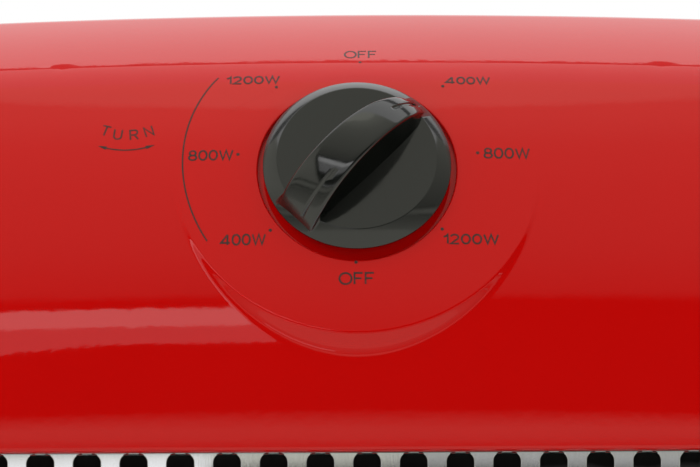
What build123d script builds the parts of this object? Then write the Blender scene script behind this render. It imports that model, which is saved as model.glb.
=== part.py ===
from build123d import *
import os
from math import asin, cos, degrees, radians, sin, tan

os.makedirs("parts", exist_ok=True)

# Sizes in millimetres. The front faces -Y, and the origin is the point on the floor
# under the axis that the head swings about.

# Clearances
sheet_gap = 0.2
fit_gap = 0.05
shell_gap = 0.4

# Head moulding
head_width = 296.0
head_front_y = -62.0
head_back_y = 58.0
head_bottom_z = 94.0
head_wall = 2.5
head_edge_round = 12.0
head_shoulder_radius = 60.0
head_foot_corner = 24.0

# Control panel, seen from the side: one long curve, a brow, a deck and a crest
dial_z = 471.0
dial_tilt = 30.0
panel_radius = 132.0
panel_turn = 40.5
brow_radius = 27.0
brow_turn = 67.0
deck_radius = 249.0
deck_turn = 75.0
crest_radius = 18.0
crest_turn = 100.0
back_corner_radius = 38.0
crown_radius = 2600.0
split_behind_crest = 8.0

# Dial pad and knob seat
pad_radius = 45.0
pad_curve_radius = 190.0
pad_slope = 53.0
pad_lean = 10.0
pad_rise = 2.6
pad_depth = 8.0
seat_radius = 25.1
seat_depth = 1.0

# Window and guard
window_width = 254.0
window_height = 270.0
window_corner = 12.0
window_lip = 12.0
window_lip_wall = 2.0
guard_thickness = 0.8
guard_recess = 1.2
guard_roll = 1.0
guard_flange = 8.0
slot_width = 6.5
slot_pitch = 11.2
slot_margin = 1.2
slot_columns = 21
slot_shift = 2.0
row_count = 3
row_band = 7.0

# Lamps and reflector
lamp_pitch = 91.8
lamp_radius = 5.0
lamp_glass = 1.0
lamp_end_gap = 6.0
trough_half_height = 43.5
trough_depth = 26.0
trough_back_y = -8.0
reflector_thickness = 0.6
cap_radius = 7.5
cap_length = 22.0
cap_socket = 6.0
bracket_thickness = 1.2
bracket_inset = 5.0
bracket_flange = 12.0
clip_thickness = 1.0
clip_size = 22.0
shield_thickness = 0.8
filament_radius = 0.9
seal_length = 5.0

# Knob and switch, measured along the dial's axis from the panel's surface
knob_radius = 23.5
knob_face_radius = 20.25
knob_foot = 0.3
knob_bevel_foot = 1.0
knob_face = 4.0
knob_top = 16.2
knob_grip_radius = 25.3
knob_grip_half = 5.2
knob_hollow_radius = 19.5
knob_hollow_top = 2.2
knob_hub_radius = 6.5
pointer_width = 1.2
pointer_start = 11.0
pointer_depth = 0.6
shaft_radius = 3.0
shaft_flat = 2.2
shaft_top = 11.0
shaft_end = 3.0
shaft_hole_radius = 4.0
shaft_clip_radius = 5.5
shaft_clip_thickness = 0.8
shaft_groove_depth = 0.5
switch_size = 34.0
switch_top = 6.5
switch_height = 20.0
switch_ear = 52.0
switch_ear_width = 14.0
switch_ear_thickness = 2.0
switch_post_x = 21.0
switch_post_radius = 3.5
knob_setting = 45.0

# Back of the head
grip_width = 104.0
grip_height = 28.0
grip_depth = 20.0
grip_below_crest = 64.0
vent_length = 40.0
vent_width = 4.0
vent_pitch = 11.0
vent_columns = 4
vent_column_pitch = 50.0
upper_vent_rows = 8
upper_vent_lift = 60.0
lower_vent_rows = 4
lower_vent_drop = 110.0
post_radius = 4.0
post_inset = 3.5
post_spread = 105.0
screw_well = 14.0
shield_slot = 30.0
cutout_radius = 8.5
cutout_height = 7.0
cutout_ear = 28.0
bracket_screw_spread = 95.0

# Swivel
tube_radius = 18.0
tube_wall = 2.0
tube_flange_radius = 30.0
tube_flange_thickness = 2.0
floor_thickness = 1.5
floor_length = 224.0
floor_depth = 84.0
neck_hole_radius = 33.0
tube_flat = 17.2
washer_radius = 29.0
washer_thickness = 1.5
bush_wall = 3.0
bush_length = 44.0
sleeve_wall = 3.0
ring_thickness = 1.2
ring_width = 3.5
lever_end = 2.0
lever_thickness = 3.0
lever_hub_wall = 4.5
lever_rim = 3.0
swing_range = 35.0

# Swing drive: the crank's roller runs in the lever's slot
crank_distance = 34.0
crank_thickness = 4.0
crank_gap = 2.0
crank_hub_radius = 6.0
pin_radius = 2.5
roller_radius = 3.5
slot_play = 3.9
slot_end_play = 0.8
motor_radius = 25.0
motor_height = 22.0
motor_ear_x = 31.0
motor_ear_radius = 6.0
motor_ear_thickness = 2.0
motor_shaft_depth = 10.0

# Base
base_length = 290.0
base_depth = 200.0
base_wall = 2.8
base_rim_z = 3.0
base_skirt_z = 24.0
base_top_z = 46.0
base_taper = 50.0
base_round = 8.0
neck_shoulder = 13.8
neck_draft = 10.0
foot_height = 5.0
foot_radius = 11.0
foot_stud_radius = 3.0
foot_inset_x = 47.0
foot_inset_y = 50.0
plate_thickness = 1.2
plate_inset = 2.0
foot_button_radius = 4.5
foot_button_height = 1.5
base_post_radius = 4.5
base_post_x = 62.0
base_post_inset_y = 28.0
base_post_inset_x = 25.0
screw_radius = 1.5
screw_hole_gap = 0.1
screw_head_radius = 3.0
screw_head_height = 2.0
screw_grip = 8.0

# Tip-over cut-out and wiring
tip_x = -52.0
tip_y = 36.0
tip_travel = 5.0
tip_rod_radius = 5.0
tip_collar_radius = 6.8
tip_collar_thickness = 2.0
tip_stem_radius = 2.5
tip_guide_wall = 2.0
tip_guide_height = 22.0
tip_spring_radius = 5.5
tip_spring_wall = 1.6
tip_switch_length = 20.0
tip_switch_width = 8.0
tip_switch_height = 11.0
tip_leaf_thickness = 0.5
terminal_x = 54.0
terminal_y = 34.0
terminal_length = 38.0
terminal_width = 16.0
terminal_height = 14.0
cord_z = 14.0
cord_hole_radius = 3.6
cord_bush_radius = 6.0
cord_bush_flange = 7.5
cord_flange_thickness = 1.5
cord_seat_depth = 1.8
cord_boss_depth = 4.5
cord_boss_radius = 9.5
cord_lock_radius = 7.0
clamp_inset = 30.0
clamp_length = 28.0
clamp_width = 10.0
clamp_height = 13.0
clamp_hole_gap = 0.8

# Places worked out from the sizes above
arc_base_z = dial_z - panel_radius * sin(radians(dial_tilt))
dial_y = head_front_y + panel_radius * (1 - cos(radians(dial_tilt)))
crest_y = (
    head_front_y
    + panel_radius * (1 - cos(radians(panel_turn)))
    + brow_radius * (cos(radians(panel_turn)) - cos(radians(brow_turn)))
    + deck_radius * (cos(radians(brow_turn)) - cos(radians(deck_turn)))
)
crest_z = (
    arc_base_z
    + panel_radius * sin(radians(panel_turn))
    + brow_radius * (sin(radians(brow_turn)) - sin(radians(panel_turn)))
    + deck_radius * (sin(radians(deck_turn)) - sin(radians(brow_turn)))
)
crown_axis = Axis((0, 0, crest_z - crown_radius), (0, 1, 0))
split_y = crest_y + split_behind_crest
front_end_y = split_y - shell_gap / 2
back_start_y = split_y + shell_gap / 2
head_half = head_width / 2
crown_half_angle = degrees(asin(head_half / (crown_radius - crest_z))) + 0.4
low_z = head_bottom_z - 2 * head_edge_round
grip_z = crest_z - grip_below_crest
window_z = arc_base_z - 1.0 - window_height / 2
lip_end_y = head_front_y + window_lip
guard_front_y = head_front_y + guard_recess
guard_flange_y = lip_end_y + sheet_gap
guard_width = window_width - 2 * shell_gap
guard_height = window_height - 2 * shell_gap
slot_length = (guard_height - 2 * slot_margin - (row_count - 1) * row_band) / row_count
flange_width = window_width + 2 * guard_flange
flange_height = window_height + 2 * guard_flange
trough_open_y = trough_back_y - trough_depth
trough_radius = (trough_half_height**2 + trough_depth**2) / (2 * trough_depth)
bracket_x = window_width / 2 - bracket_inset
lamp_length = 2 * (bracket_x - lamp_end_gap)
reflector_half_length = bracket_x - sheet_gap
lamp_y = trough_open_y + 4.0
lamp_heights = [window_z + (row - (row_count - 1) / 2) * lamp_pitch for row in range(row_count)]
cap_inner_x = lamp_length / 2 - cap_socket + sheet_gap
shield_y = trough_back_y + reflector_thickness + sheet_gap
bracket_front_y = guard_flange_y + guard_thickness + sheet_gap
bracket_back_y = shield_y - sheet_gap
bracket_height = flange_height - 8.0
bracket_screw_x = window_width / 2 + window_lip_wall + 2.2
bracket_screw_places = [
    (side * bracket_screw_x, window_z + lift)
    for side in (-1, 1)
    for lift in (-bracket_screw_spread, bracket_screw_spread)
]
post_places = [
    (side * (head_half - head_wall - post_inset), window_z + lift)
    for side in (-1, 1)
    for lift in (-post_spread, 0, post_spread)
]
dial_normal = Vector(0, -cos(radians(dial_tilt)), sin(radians(dial_tilt)))
dial_centre = Vector(0, dial_y, dial_z)
dial_plane = Plane(origin=dial_centre, x_dir=(1, 0, 0), z_dir=dial_normal)
pad_plane = Plane(
    origin=dial_centre + dial_normal * pad_rise,
    x_dir=(1, 0, 0),
    z_dir=(0, -cos(radians(dial_tilt - pad_lean)), sin(radians(dial_tilt - pad_lean))),
)
knob_turn = radians(knob_setting)
knob_plane = Plane(
    origin=dial_centre,
    x_dir=dial_plane.x_dir * cos(knob_turn) - dial_plane.y_dir * sin(knob_turn),
    z_dir=dial_normal,
)
blade_plane = Plane(origin=dial_centre, x_dir=knob_plane.y_dir, z_dir=knob_plane.x_dir)
screw_hole_radius = screw_radius + screw_hole_gap
base_half_depth = base_depth / 2
neck_foot_radius = base_half_depth - (base_top_z - base_skirt_z) * tan(radians(base_taper)) - neck_shoulder
neck_radius = neck_foot_radius - neck_draft
base_post_y = base_half_depth - base_post_inset_y
base_post_places = [(side * base_post_x, end * base_post_y) for side in (-1, 1) for end in (-1, 1)]
base_post_places += [(side * (base_length / 2 - base_post_inset_x), 0) for side in (-1, 1)]
foot_x = base_length / 2 - foot_inset_x
foot_y = base_half_depth - foot_inset_y
cord_seat_y = base_half_depth - cord_seat_depth
cord_boss_y = base_half_depth - cord_boss_depth
clamp_y = base_half_depth - clamp_inset
plate_z = foot_height
plate_top_z = plate_z + plate_thickness
motor_z = plate_top_z
motor_top_z = motor_z + motor_height
crank_y = -crank_distance
crank_radius = crank_distance * sin(radians(swing_range))
crank_z = motor_top_z + crank_gap
tube_bottom_z = crank_z + crank_thickness + crank_gap
lever_z = tube_bottom_z + lever_end
lever_top_z = lever_z + lever_thickness
tube_top_z = head_bottom_z + head_wall + sheet_gap
washer_z = tube_top_z - tube_flange_thickness - sheet_gap - washer_thickness
neck_top_z = washer_z - sheet_gap
bush_radius = tube_radius + fit_gap + bush_wall
slot_near = crank_distance * cos(radians(swing_range))
slot_far = crank_distance + crank_radius
slot_half = roller_radius + slot_play
tip_guide_radius = tip_collar_radius + 0.4
tip_collar_z = plate_top_z + tip_travel + 0.3
tip_cap_z = plate_top_z + tip_guide_height
tip_top_z = tip_cap_z + tip_guide_wall + 2.0
cutout_z = window_z + lamp_pitch / 2
floor_z = tube_top_z + sheet_gap
bush_bottom_z = neck_top_z - bush_length
bearing_ring_z = bush_bottom_z - sheet_gap - ring_thickness
switch_face = switch_top + sheet_gap
switch_back = switch_face + switch_height
shaft_bottom = switch_back + shaft_end
clip_x = bracket_x + bracket_thickness + sheet_gap
slot_centre_y = -(slot_near + slot_far) / 2
slot_run = slot_far - slot_near + 2 * (roller_radius + slot_end_play)


def facing(y):
    """A plane seen from the front of the heater, at depth y."""
    return Plane.XZ.offset(-y)


def backing(y):
    """A plane seen from behind the heater, at depth y."""
    return Plane(origin=(0, y, 0), x_dir=(-1, 0, 0), z_dir=(0, 1, 0))


def level(z):
    """A horizontal plane at height z."""
    return Plane.XY.offset(z)


def head_outline(inset):
    """Side outline of the head, moved inwards by inset."""
    front = head_front_y + inset
    with BuildLine() as outline:
        fascia = Line((front, low_z), (front, arc_base_z))
        panel = JernArc(fascia @ 1, fascia % 1, panel_radius - inset, -panel_turn)
        upper_outline(panel @ 1, panel % 1, inset, (front, low_z))
    return outline.edges()


def upper_outline(start, direction, inset, first):
    """Brow, deck, crest and back of the side outline, closed down to its first point."""
    brow = JernArc(start, direction, brow_radius - inset, panel_turn - brow_turn)
    deck = JernArc(brow @ 1, brow % 1, deck_radius - inset, brow_turn - deck_turn)
    crest = JernArc(deck @ 1, deck % 1, crest_radius - inset, deck_turn - crest_turn)
    corner_run = (back_corner_radius - inset) * (1 + cos(radians(crest_turn)))
    top_run = (head_back_y - inset - corner_run - (crest @ 1).X) / sin(radians(crest_turn))
    top = Line(crest @ 1, crest @ 1 + (crest % 1) * top_run)
    corner = JernArc(top @ 1, top % 1, back_corner_radius - inset, crest_turn - 180)
    back = Line(corner @ 1, (head_back_y - inset, low_z))
    Line(back @ 1, first)


def pad_outline():
    """Side outline that leaves the panel's curve at the dial for a flatter one below it."""
    dial = (dial_y, dial_z)
    uphill = (sin(radians(dial_tilt)), cos(radians(dial_tilt)))
    with BuildLine() as outline:
        pad = JernArc(dial, (-uphill[0], -uphill[1]), pad_curve_radius, dial_tilt)
        drop = Line(pad @ 1, ((pad @ 1).X, low_z))
        panel = JernArc(dial, uphill, panel_radius, dial_tilt - panel_turn)
        upper_outline(panel @ 1, panel % 1, 0, drop @ 1)
    return outline.edges()


def front_outline(inset):
    """Outline of the head seen from the front, with its shoulders and lower corners."""
    half = head_half - inset
    shoulder = head_shoulder_radius - inset
    shoulder_z = crest_z + 3.0 - head_shoulder_radius
    foot = head_foot_corner - inset
    low = head_bottom_z + inset
    with BuildLine() as outline:
        left = Line((-half, low + foot), (-half, shoulder_z))
        left_arc = JernArc(left @ 1, (0, 1), shoulder, -90)
        right_arc = JernArc((half, shoulder_z), (0, 1), shoulder, 90)
        Line(left_arc @ 1, right_arc @ 1)
        right = Line((half, shoulder_z), (half, low + foot))
        right_foot = JernArc(right @ 1, (0, -1), foot, -90)
        left_foot = JernArc(left @ 0, (0, -1), foot, 90)
        Line(right_foot @ 1, left_foot @ 1)
    return outline.edges()


def head_form(inset):
    """The whole head as one solid, moved inwards by inset."""
    with BuildPart() as form:
        with BuildSketch(Plane.YZ):
            make_face(head_outline(inset))
        revolve(axis=crown_axis, revolution_arc=crown_half_angle)
        mirror(about=Plane.YZ)
        with BuildSketch(Plane.XZ):
            make_face(front_outline(inset))
        extrude(amount=head_back_y - head_front_y, both=True, mode=Mode.INTERSECT)
        rim = ShapeList()
        for face in form.faces().filter_by(lambda face: abs(face.normal_at().Y) < 0.001):
            rim += face.edges().filter_by(lambda edge: abs(edge.tangent_at(0.5).Y) < 0.999)
        fillet(rim, radius=head_edge_round - inset)
    return form.part


def pad_skin(depth):
    """Everything behind the pad's own curve, moved inwards by depth."""
    with BuildPart() as skin:
        with BuildSketch(Plane.YZ):
            make_face(pad_outline())
        revolve(axis=crown_axis, revolution_arc=2.0)
        mirror(about=Plane.YZ)
    return skin.part.moved(Location(dial_normal * -depth))


def dial_pad():
    """The dial pad, a disc with a sloped side under its own flatter curve."""
    with BuildPart() as pad:
        with BuildSketch(pad_plane.offset(-pad_depth)):
            Circle(pad_radius + pad_depth * tan(radians(pad_slope)))
        with BuildSketch(pad_plane):
            Circle(pad_radius)
        loft()
        with BuildSketch(pad_plane):
            Circle(pad_radius)
        extrude(amount=pad_rise * 2)
        add(pad_skin(0), mode=Mode.INTERSECT)
    return pad.part


def knob_seat():
    """The shallow ring-shaped seat under the knob, as the solid that is cut away."""
    with BuildPart() as seat:
        with BuildSketch(dial_plane.offset(-pad_depth)):
            Circle(seat_radius)
        extrude(amount=pad_depth * 2)
        add(pad_skin(seat_depth), mode=Mode.SUBTRACT)
    return seat.part


def guard_form(inset):
    """The guard's pan as one solid, moved inwards by inset."""
    with BuildPart() as form:
        with BuildSketch(facing(guard_flange_y + guard_thickness)):
            with Locations((0, window_z)):
                RectangleRounded(
                    guard_width - 2 * inset,
                    guard_height - 2 * inset,
                    window_corner - shell_gap - inset,
                )
        extrude(amount=guard_flange_y + guard_thickness - guard_front_y - inset)
        fillet(form.faces().sort_by(Axis.Y)[0].edges(), radius=guard_roll - inset)
    return form.part


def end_bracket(side):
    """Folded end plate that carries the lamps, on one side of the head."""
    with BuildPart() as plate:
        with BuildSketch(Plane.YZ.offset(side * bracket_x)):
            with Locations(((bracket_front_y + bracket_back_y) / 2, window_z)):
                Rectangle(bracket_back_y - bracket_front_y, bracket_height)
            with Locations([(lamp_y, height) for height in lamp_heights]):
                Circle(cap_radius + shell_gap, mode=Mode.SUBTRACT)
        extrude(amount=side * bracket_thickness)
        with BuildSketch(facing(bracket_front_y + bracket_thickness)):
            with Locations((side * (bracket_x + bracket_flange / 2), window_z)):
                Rectangle(bracket_flange, bracket_height)
        extrude(amount=bracket_thickness)
        with BuildSketch(facing(bracket_back_y)):
            with Locations((side * (bracket_x + bracket_flange / 2), window_z)):
                Rectangle(bracket_flange, bracket_height)
        extrude(amount=bracket_thickness)
    return plate.part


def screws(plane, places, length):
    """Pan-head screws with their heads standing on a plane and their shanks below it."""
    with BuildPart() as group:
        with BuildSketch(plane):
            with Locations(places):
                Circle(screw_head_radius)
        extrude(amount=screw_head_height)
        with BuildSketch(plane):
            with Locations(places):
                Circle(screw_radius)
        extrude(amount=-length)
    return group.part


def cover_form(inset):
    """The base cover as one solid, moved inwards by inset."""
    length = base_length - 2 * inset
    depth = base_depth - 2 * inset
    with BuildPart() as form:
        with BuildSketch(level(base_rim_z - inset)):
            SlotOverall(length, depth)
        extrude(amount=base_skirt_z - base_rim_z)
        with BuildSketch(level(base_skirt_z - inset)):
            SlotOverall(length, depth)
        extrude(amount=base_top_z - base_skirt_z, taper=base_taper)
        with BuildSketch(level(base_top_z - inset)):
            Circle(neck_foot_radius - inset)
        with BuildSketch(level(neck_top_z - inset)):
            Circle(neck_radius - inset)
        loft()
    return form.part


def cover_posts():
    """The cover's screw posts, trimmed to the middle of its wall."""
    with BuildPart() as posts:
        with BuildSketch(level(plate_top_z + sheet_gap)):
            with Locations(base_post_places):
                Circle(base_post_radius)
        extrude(amount=base_top_z)
        add(cover_form(base_wall / 2), mode=Mode.INTERSECT)
    return posts.part


head_outer = head_form(0)
head_inner = head_form(head_wall)

with BuildPart() as front_housing:
    add(head_outer)
    add(dial_pad())
    add(head_inner, mode=Mode.SUBTRACT)
    split(bisect_by=facing(front_end_y), keep=Keep.TOP)
    with BuildSketch(facing(lip_end_y)):
        with Locations((0, window_z)):
            RectangleRounded(
                window_width + 2 * window_lip_wall,
                window_height + 2 * window_lip_wall,
                window_corner + window_lip_wall,
            )
        with Locations(bracket_screw_places):
            Circle(post_radius)
    extrude(amount=window_lip - 1.0)
    with BuildSketch(facing(lip_end_y + 1.0)):
        with Locations((0, window_z)):
            RectangleRounded(window_width, window_height, window_corner)
    extrude(amount=window_lip + 5.0, mode=Mode.SUBTRACT)
    with BuildSketch(facing(front_end_y)):
        with Locations(post_places):
            Circle(post_radius)
    extrude(amount=front_end_y - head_front_y - head_edge_round)
    with BuildSketch(facing(front_end_y)):
        with Locations(post_places):
            Circle(screw_hole_radius)
    extrude(amount=screw_grip + 2.0, mode=Mode.SUBTRACT)
    with BuildSketch(dial_plane.offset(-switch_top)):
        with Locations((-switch_post_x, 0), (switch_post_x, 0)):
            Circle(switch_post_radius)
        Circle(shaft_hole_radius + 3.0)
    extrude(amount=switch_top - seat_depth - 0.5)
    add(knob_seat(), mode=Mode.SUBTRACT)
    with BuildSketch(dial_plane.offset(-switch_top - 1.0)):
        Circle(shaft_hole_radius)
    extrude(amount=switch_top + 4.0, mode=Mode.SUBTRACT)
    with BuildSketch(level(head_bottom_z - 1.0)):
        Circle(neck_hole_radius)
    extrude(amount=head_wall + 2.0, mode=Mode.SUBTRACT)
front_housing.part.label = "front_housing"
export_step(front_housing.part, "parts/front_housing.step")

with BuildPart() as rear_housing:
    add(head_outer)
    add(head_inner, mode=Mode.SUBTRACT)
    split(bisect_by=facing(back_start_y), keep=Keep.BOTTOM)
    with BuildSketch(facing(head_back_y - 1.0)):
        with Locations((0, grip_z)):
            RectangleRounded(grip_width + 2 * head_wall, grip_height + 2 * head_wall, 8.0 + head_wall)
    extrude(amount=grip_depth + head_wall - 1.0)
    with BuildSketch(facing(back_start_y)):
        with Locations(post_places):
            Circle(post_radius)
    extrude(amount=back_start_y - head_back_y + head_wall)
    with BuildSketch(facing(back_start_y - 1.0)):
        with Locations(post_places):
            Circle(screw_hole_radius)
    extrude(amount=back_start_y - head_back_y - 2.0, mode=Mode.SUBTRACT)
    with BuildSketch(facing(head_back_y + 1.0)):
        with Locations(post_places):
            Circle(screw_head_radius + screw_hole_gap)
    extrude(amount=screw_well + 1.0, mode=Mode.SUBTRACT)
    with BuildSketch(facing(head_back_y + 1.0)):
        with Locations((0, grip_z)):
            RectangleRounded(grip_width, grip_height, 8.0)
    extrude(amount=grip_depth + 1.0, mode=Mode.SUBTRACT)
    with BuildSketch(facing(head_back_y + 1.0)):
        with Locations((0, window_z + upper_vent_lift)):
            with GridLocations(vent_column_pitch, vent_pitch, vent_columns, upper_vent_rows):
                Rectangle(vent_length, vent_width)
        with Locations((0, window_z - lower_vent_drop)):
            with GridLocations(vent_column_pitch, vent_pitch, vent_columns, lower_vent_rows):
                Rectangle(vent_length, vent_width)
    extrude(amount=head_wall + 2.0, mode=Mode.SUBTRACT)
    with BuildSketch(level(head_bottom_z - 1.0)):
        Circle(neck_hole_radius)
    extrude(amount=head_wall + 2.0, mode=Mode.SUBTRACT)
rear_housing.part.label = "rear_housing"
export_step(rear_housing.part, "parts/rear_housing.step")

with BuildPart() as guard:
    add(guard_form(0))
    with BuildSketch(facing(guard_flange_y + guard_thickness)):
        with Locations((0, window_z)):
            RectangleRounded(flange_width, flange_height, window_corner + guard_flange)
    extrude(amount=guard_thickness)
    add(guard_form(guard_thickness), mode=Mode.SUBTRACT)
    with BuildSketch(facing(guard_front_y + guard_thickness + 1.0)):
        with Locations((slot_shift, window_z)):
            with GridLocations(slot_pitch, slot_length + row_band, slot_columns, row_count):
                Rectangle(slot_width, slot_length)
    extrude(amount=guard_thickness + 2.0, mode=Mode.SUBTRACT)
guard.part.label = "guard"
export_step(guard.part, "parts/guard.step")

with BuildPart() as reflector:
    with BuildSketch(Plane.YZ.offset(-reflector_half_length)):
        with Locations([(trough_back_y - trough_radius, height) for height in lamp_heights]):
            Circle(trough_radius + reflector_thickness)
        with Locations((trough_open_y - trough_radius, window_z)):
            Rectangle(2 * trough_radius, 2 * flange_height, mode=Mode.SUBTRACT)
        with Locations((trough_open_y + reflector_thickness / 2, window_z)):
            Rectangle(reflector_thickness, bracket_height)
        with Locations([(trough_back_y - trough_radius, height) for height in lamp_heights]):
            Circle(trough_radius, mode=Mode.SUBTRACT)
    extrude(amount=2 * reflector_half_length)
reflector.part.label = "reflector"
export_step(reflector.part, "parts/reflector.step")

with BuildPart() as heat_shield:
    with BuildSketch(facing(shield_y + shield_thickness)):
        with Locations((0, window_z)):
            Rectangle(2 * (bracket_x + bracket_flange), bracket_height)
        with Locations([(0, height) for height in lamp_heights]):
            with GridLocations(shield_slot * 1.6, 1.0, vent_columns, 1):
                Rectangle(shield_slot, 5.0, mode=Mode.SUBTRACT)
    extrude(amount=shield_thickness)
heat_shield.part.label = "heat_shield"
export_step(heat_shield.part, "parts/heat_shield.step")

with BuildPart() as end_bracket_left:
    add(end_bracket(-1))
end_bracket_left.part.label = "end_bracket_left"
export_step(end_bracket_left.part, "parts/end_bracket_left.step")

with BuildPart() as end_bracket_right:
    add(end_bracket(1))
end_bracket_right.part.label = "end_bracket_right"
export_step(end_bracket_right.part, "parts/end_bracket_right.step")

with BuildPart() as lamp_tubes:
    with BuildSketch(Plane.YZ.offset(-lamp_length / 2)):
        with Locations([(lamp_y, height) for height in lamp_heights]):
            Circle(lamp_radius)
    extrude(amount=lamp_length)
    with BuildSketch(Plane.YZ.offset(-lamp_length / 2 + seal_length)):
        with Locations([(lamp_y, height) for height in lamp_heights]):
            Circle(lamp_radius - lamp_glass)
    extrude(amount=lamp_length - 2 * seal_length, mode=Mode.SUBTRACT)
lamp_tubes.part.label = "lamp_tubes"
export_step(lamp_tubes.part, "parts/lamp_tubes.step")

coil_half = lamp_length / 2 - seal_length - sheet_gap

with BuildPart() as heating_coils:
    with BuildSketch(Plane.YZ.offset(-coil_half)):
        with Locations([(lamp_y, height) for height in lamp_heights]):
            Circle(filament_radius)
    extrude(amount=2 * coil_half)
heating_coils.part.label = "heating_coils"
export_step(heating_coils.part, "parts/heating_coils.step")

with BuildPart() as ceramic_caps:
    for side in (-1, 1):
        with BuildSketch(Plane.YZ.offset(side * cap_inner_x)):
            with Locations([(lamp_y, height) for height in lamp_heights]):
                Circle(cap_radius)
        extrude(amount=side * cap_length)
        with BuildSketch(Plane.YZ.offset(side * cap_inner_x)):
            with Locations([(lamp_y, height) for height in lamp_heights]):
                Circle(lamp_radius + sheet_gap)
        extrude(amount=side * cap_socket, mode=Mode.SUBTRACT)
        with BuildSketch(Plane.YZ.offset(side * (clip_x - sheet_gap))):
            with Locations([(lamp_y, height) for height in lamp_heights]):
                Circle(cap_radius + 1.0)
                Circle(cap_radius - 1.2, mode=Mode.SUBTRACT)
        extrude(amount=side * (clip_thickness + 2 * sheet_gap), mode=Mode.SUBTRACT)
ceramic_caps.part.label = "ceramic_caps"
export_step(ceramic_caps.part, "parts/ceramic_caps.step")

with BuildPart() as lamp_clips:
    for side in (-1, 1):
        with BuildSketch(Plane.YZ.offset(side * clip_x)):
            with Locations([(lamp_y + 5.0, height) for height in lamp_heights]):
                Rectangle(clip_size + 6.0, clip_size)
            with Locations([(lamp_y - clip_size / 2 + cap_radius - 1.0, height) for height in lamp_heights]):
                Rectangle(clip_size, 2 * cap_radius - 2.0, mode=Mode.SUBTRACT)
        extrude(amount=side * clip_thickness)
lamp_clips.part.label = "lamp_clips"
export_step(lamp_clips.part, "parts/lamp_clips.step")

with BuildPart() as thermal_cutout:
    with BuildSketch(facing(shield_y + shield_thickness + sheet_gap)):
        with Locations((0, cutout_z)):
            RectangleRounded(cutout_ear, 6.0, 2.9)
            Circle(cutout_radius)
    extrude(amount=-1.0)
    with BuildSketch(facing(shield_y + shield_thickness + sheet_gap)):
        with Locations((0, cutout_z)):
            Circle(cutout_radius - 1.5)
    extrude(amount=-cutout_height)
    with BuildSketch(backing(shield_y + shield_thickness + sheet_gap + cutout_height)):
        with Locations((-4.0, cutout_z), (4.0, cutout_z)):
            Rectangle(0.8, 6.3)
    extrude(amount=8.0)
thermal_cutout.part.label = "thermal_cutout"
export_step(thermal_cutout.part, "parts/thermal_cutout.step")

with BuildPart() as housing_screws:
    add(screws(backing(head_back_y - screw_well + sheet_gap), post_places, head_back_y - screw_well - front_end_y + screw_grip))
housing_screws.part.label = "housing_screws"
export_step(housing_screws.part, "parts/housing_screws.step")

with BuildPart() as rotary_switch:
    with BuildSketch(dial_plane.offset(-switch_face)):
        Rectangle(switch_size, switch_size)
    extrude(amount=-switch_height)
    with BuildSketch(dial_plane.offset(-switch_face)):
        Rectangle(switch_ear, switch_ear_width)
    extrude(amount=-switch_ear_thickness)
    with BuildSketch(dial_plane.offset(-switch_face)):
        Circle(shaft_radius + fit_gap)
    extrude(amount=-switch_height, mode=Mode.SUBTRACT)
    with BuildSketch(dial_plane.offset(-switch_back)):
        with Locations((-10.0, -8.0), (-10.0, 8.0), (10.0, -8.0), (10.0, 8.0), (0, -12.0)):
            Rectangle(6.3, 0.8)
    extrude(amount=-8.0)
rotary_switch.part.label = "rotary_switch"
export_step(rotary_switch.part, "parts/rotary_switch.step")

with BuildPart() as knob:
    with BuildSketch(blade_plane):
        with Locations((0, knob_top - knob_grip_radius)):
            Circle(knob_grip_radius)
        with Locations((0, knob_bevel_foot - knob_grip_radius)):
            Rectangle(4 * knob_grip_radius, 2 * knob_grip_radius, mode=Mode.SUBTRACT)
    extrude(amount=knob_grip_half, both=True)
    with BuildSketch(dial_plane):
        Circle(knob_radius)
    extrude(amount=knob_top + 1.0, mode=Mode.INTERSECT)
    with BuildSketch(dial_plane.offset(knob_foot)):
        Circle(knob_radius)
    extrude(amount=knob_bevel_foot - knob_foot)
    with BuildSketch(dial_plane.offset(knob_bevel_foot)):
        Circle(knob_radius)
    with BuildSketch(dial_plane.offset(knob_face)):
        Circle(knob_face_radius)
    loft()
    with BuildSketch(blade_plane):
        with Locations((0, knob_top - knob_grip_radius)):
            Circle(knob_grip_radius + 2.0)
            Circle(knob_grip_radius - pointer_depth, mode=Mode.SUBTRACT)
        with Locations((pointer_start - 2 * knob_grip_radius, 0)):
            Rectangle(4 * knob_grip_radius, 4 * knob_grip_radius, mode=Mode.SUBTRACT)
        with Locations((0, -knob_grip_radius + knob_face + 1.0)):
            Rectangle(4 * knob_grip_radius, 2 * knob_grip_radius, mode=Mode.SUBTRACT)
    extrude(amount=pointer_width / 2, both=True, mode=Mode.SUBTRACT)
    with BuildSketch(dial_plane.offset(knob_foot - 1.0)):
        Circle(knob_hollow_radius)
        Circle(knob_hub_radius, mode=Mode.SUBTRACT)
    extrude(amount=knob_hollow_top - knob_foot + 1.0, mode=Mode.SUBTRACT)
    with BuildSketch(knob_plane.offset(knob_foot - 1.0)):
        Circle(shaft_radius + fit_gap)
        with Locations((0, shaft_flat + fit_gap + shaft_radius)):
            Rectangle(4 * shaft_radius, 2 * shaft_radius, mode=Mode.SUBTRACT)
    extrude(amount=shaft_top + sheet_gap - knob_foot + 1.0, mode=Mode.SUBTRACT)
knob.part.label = "knob"
export_step(knob.part, "parts/knob.step")

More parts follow.
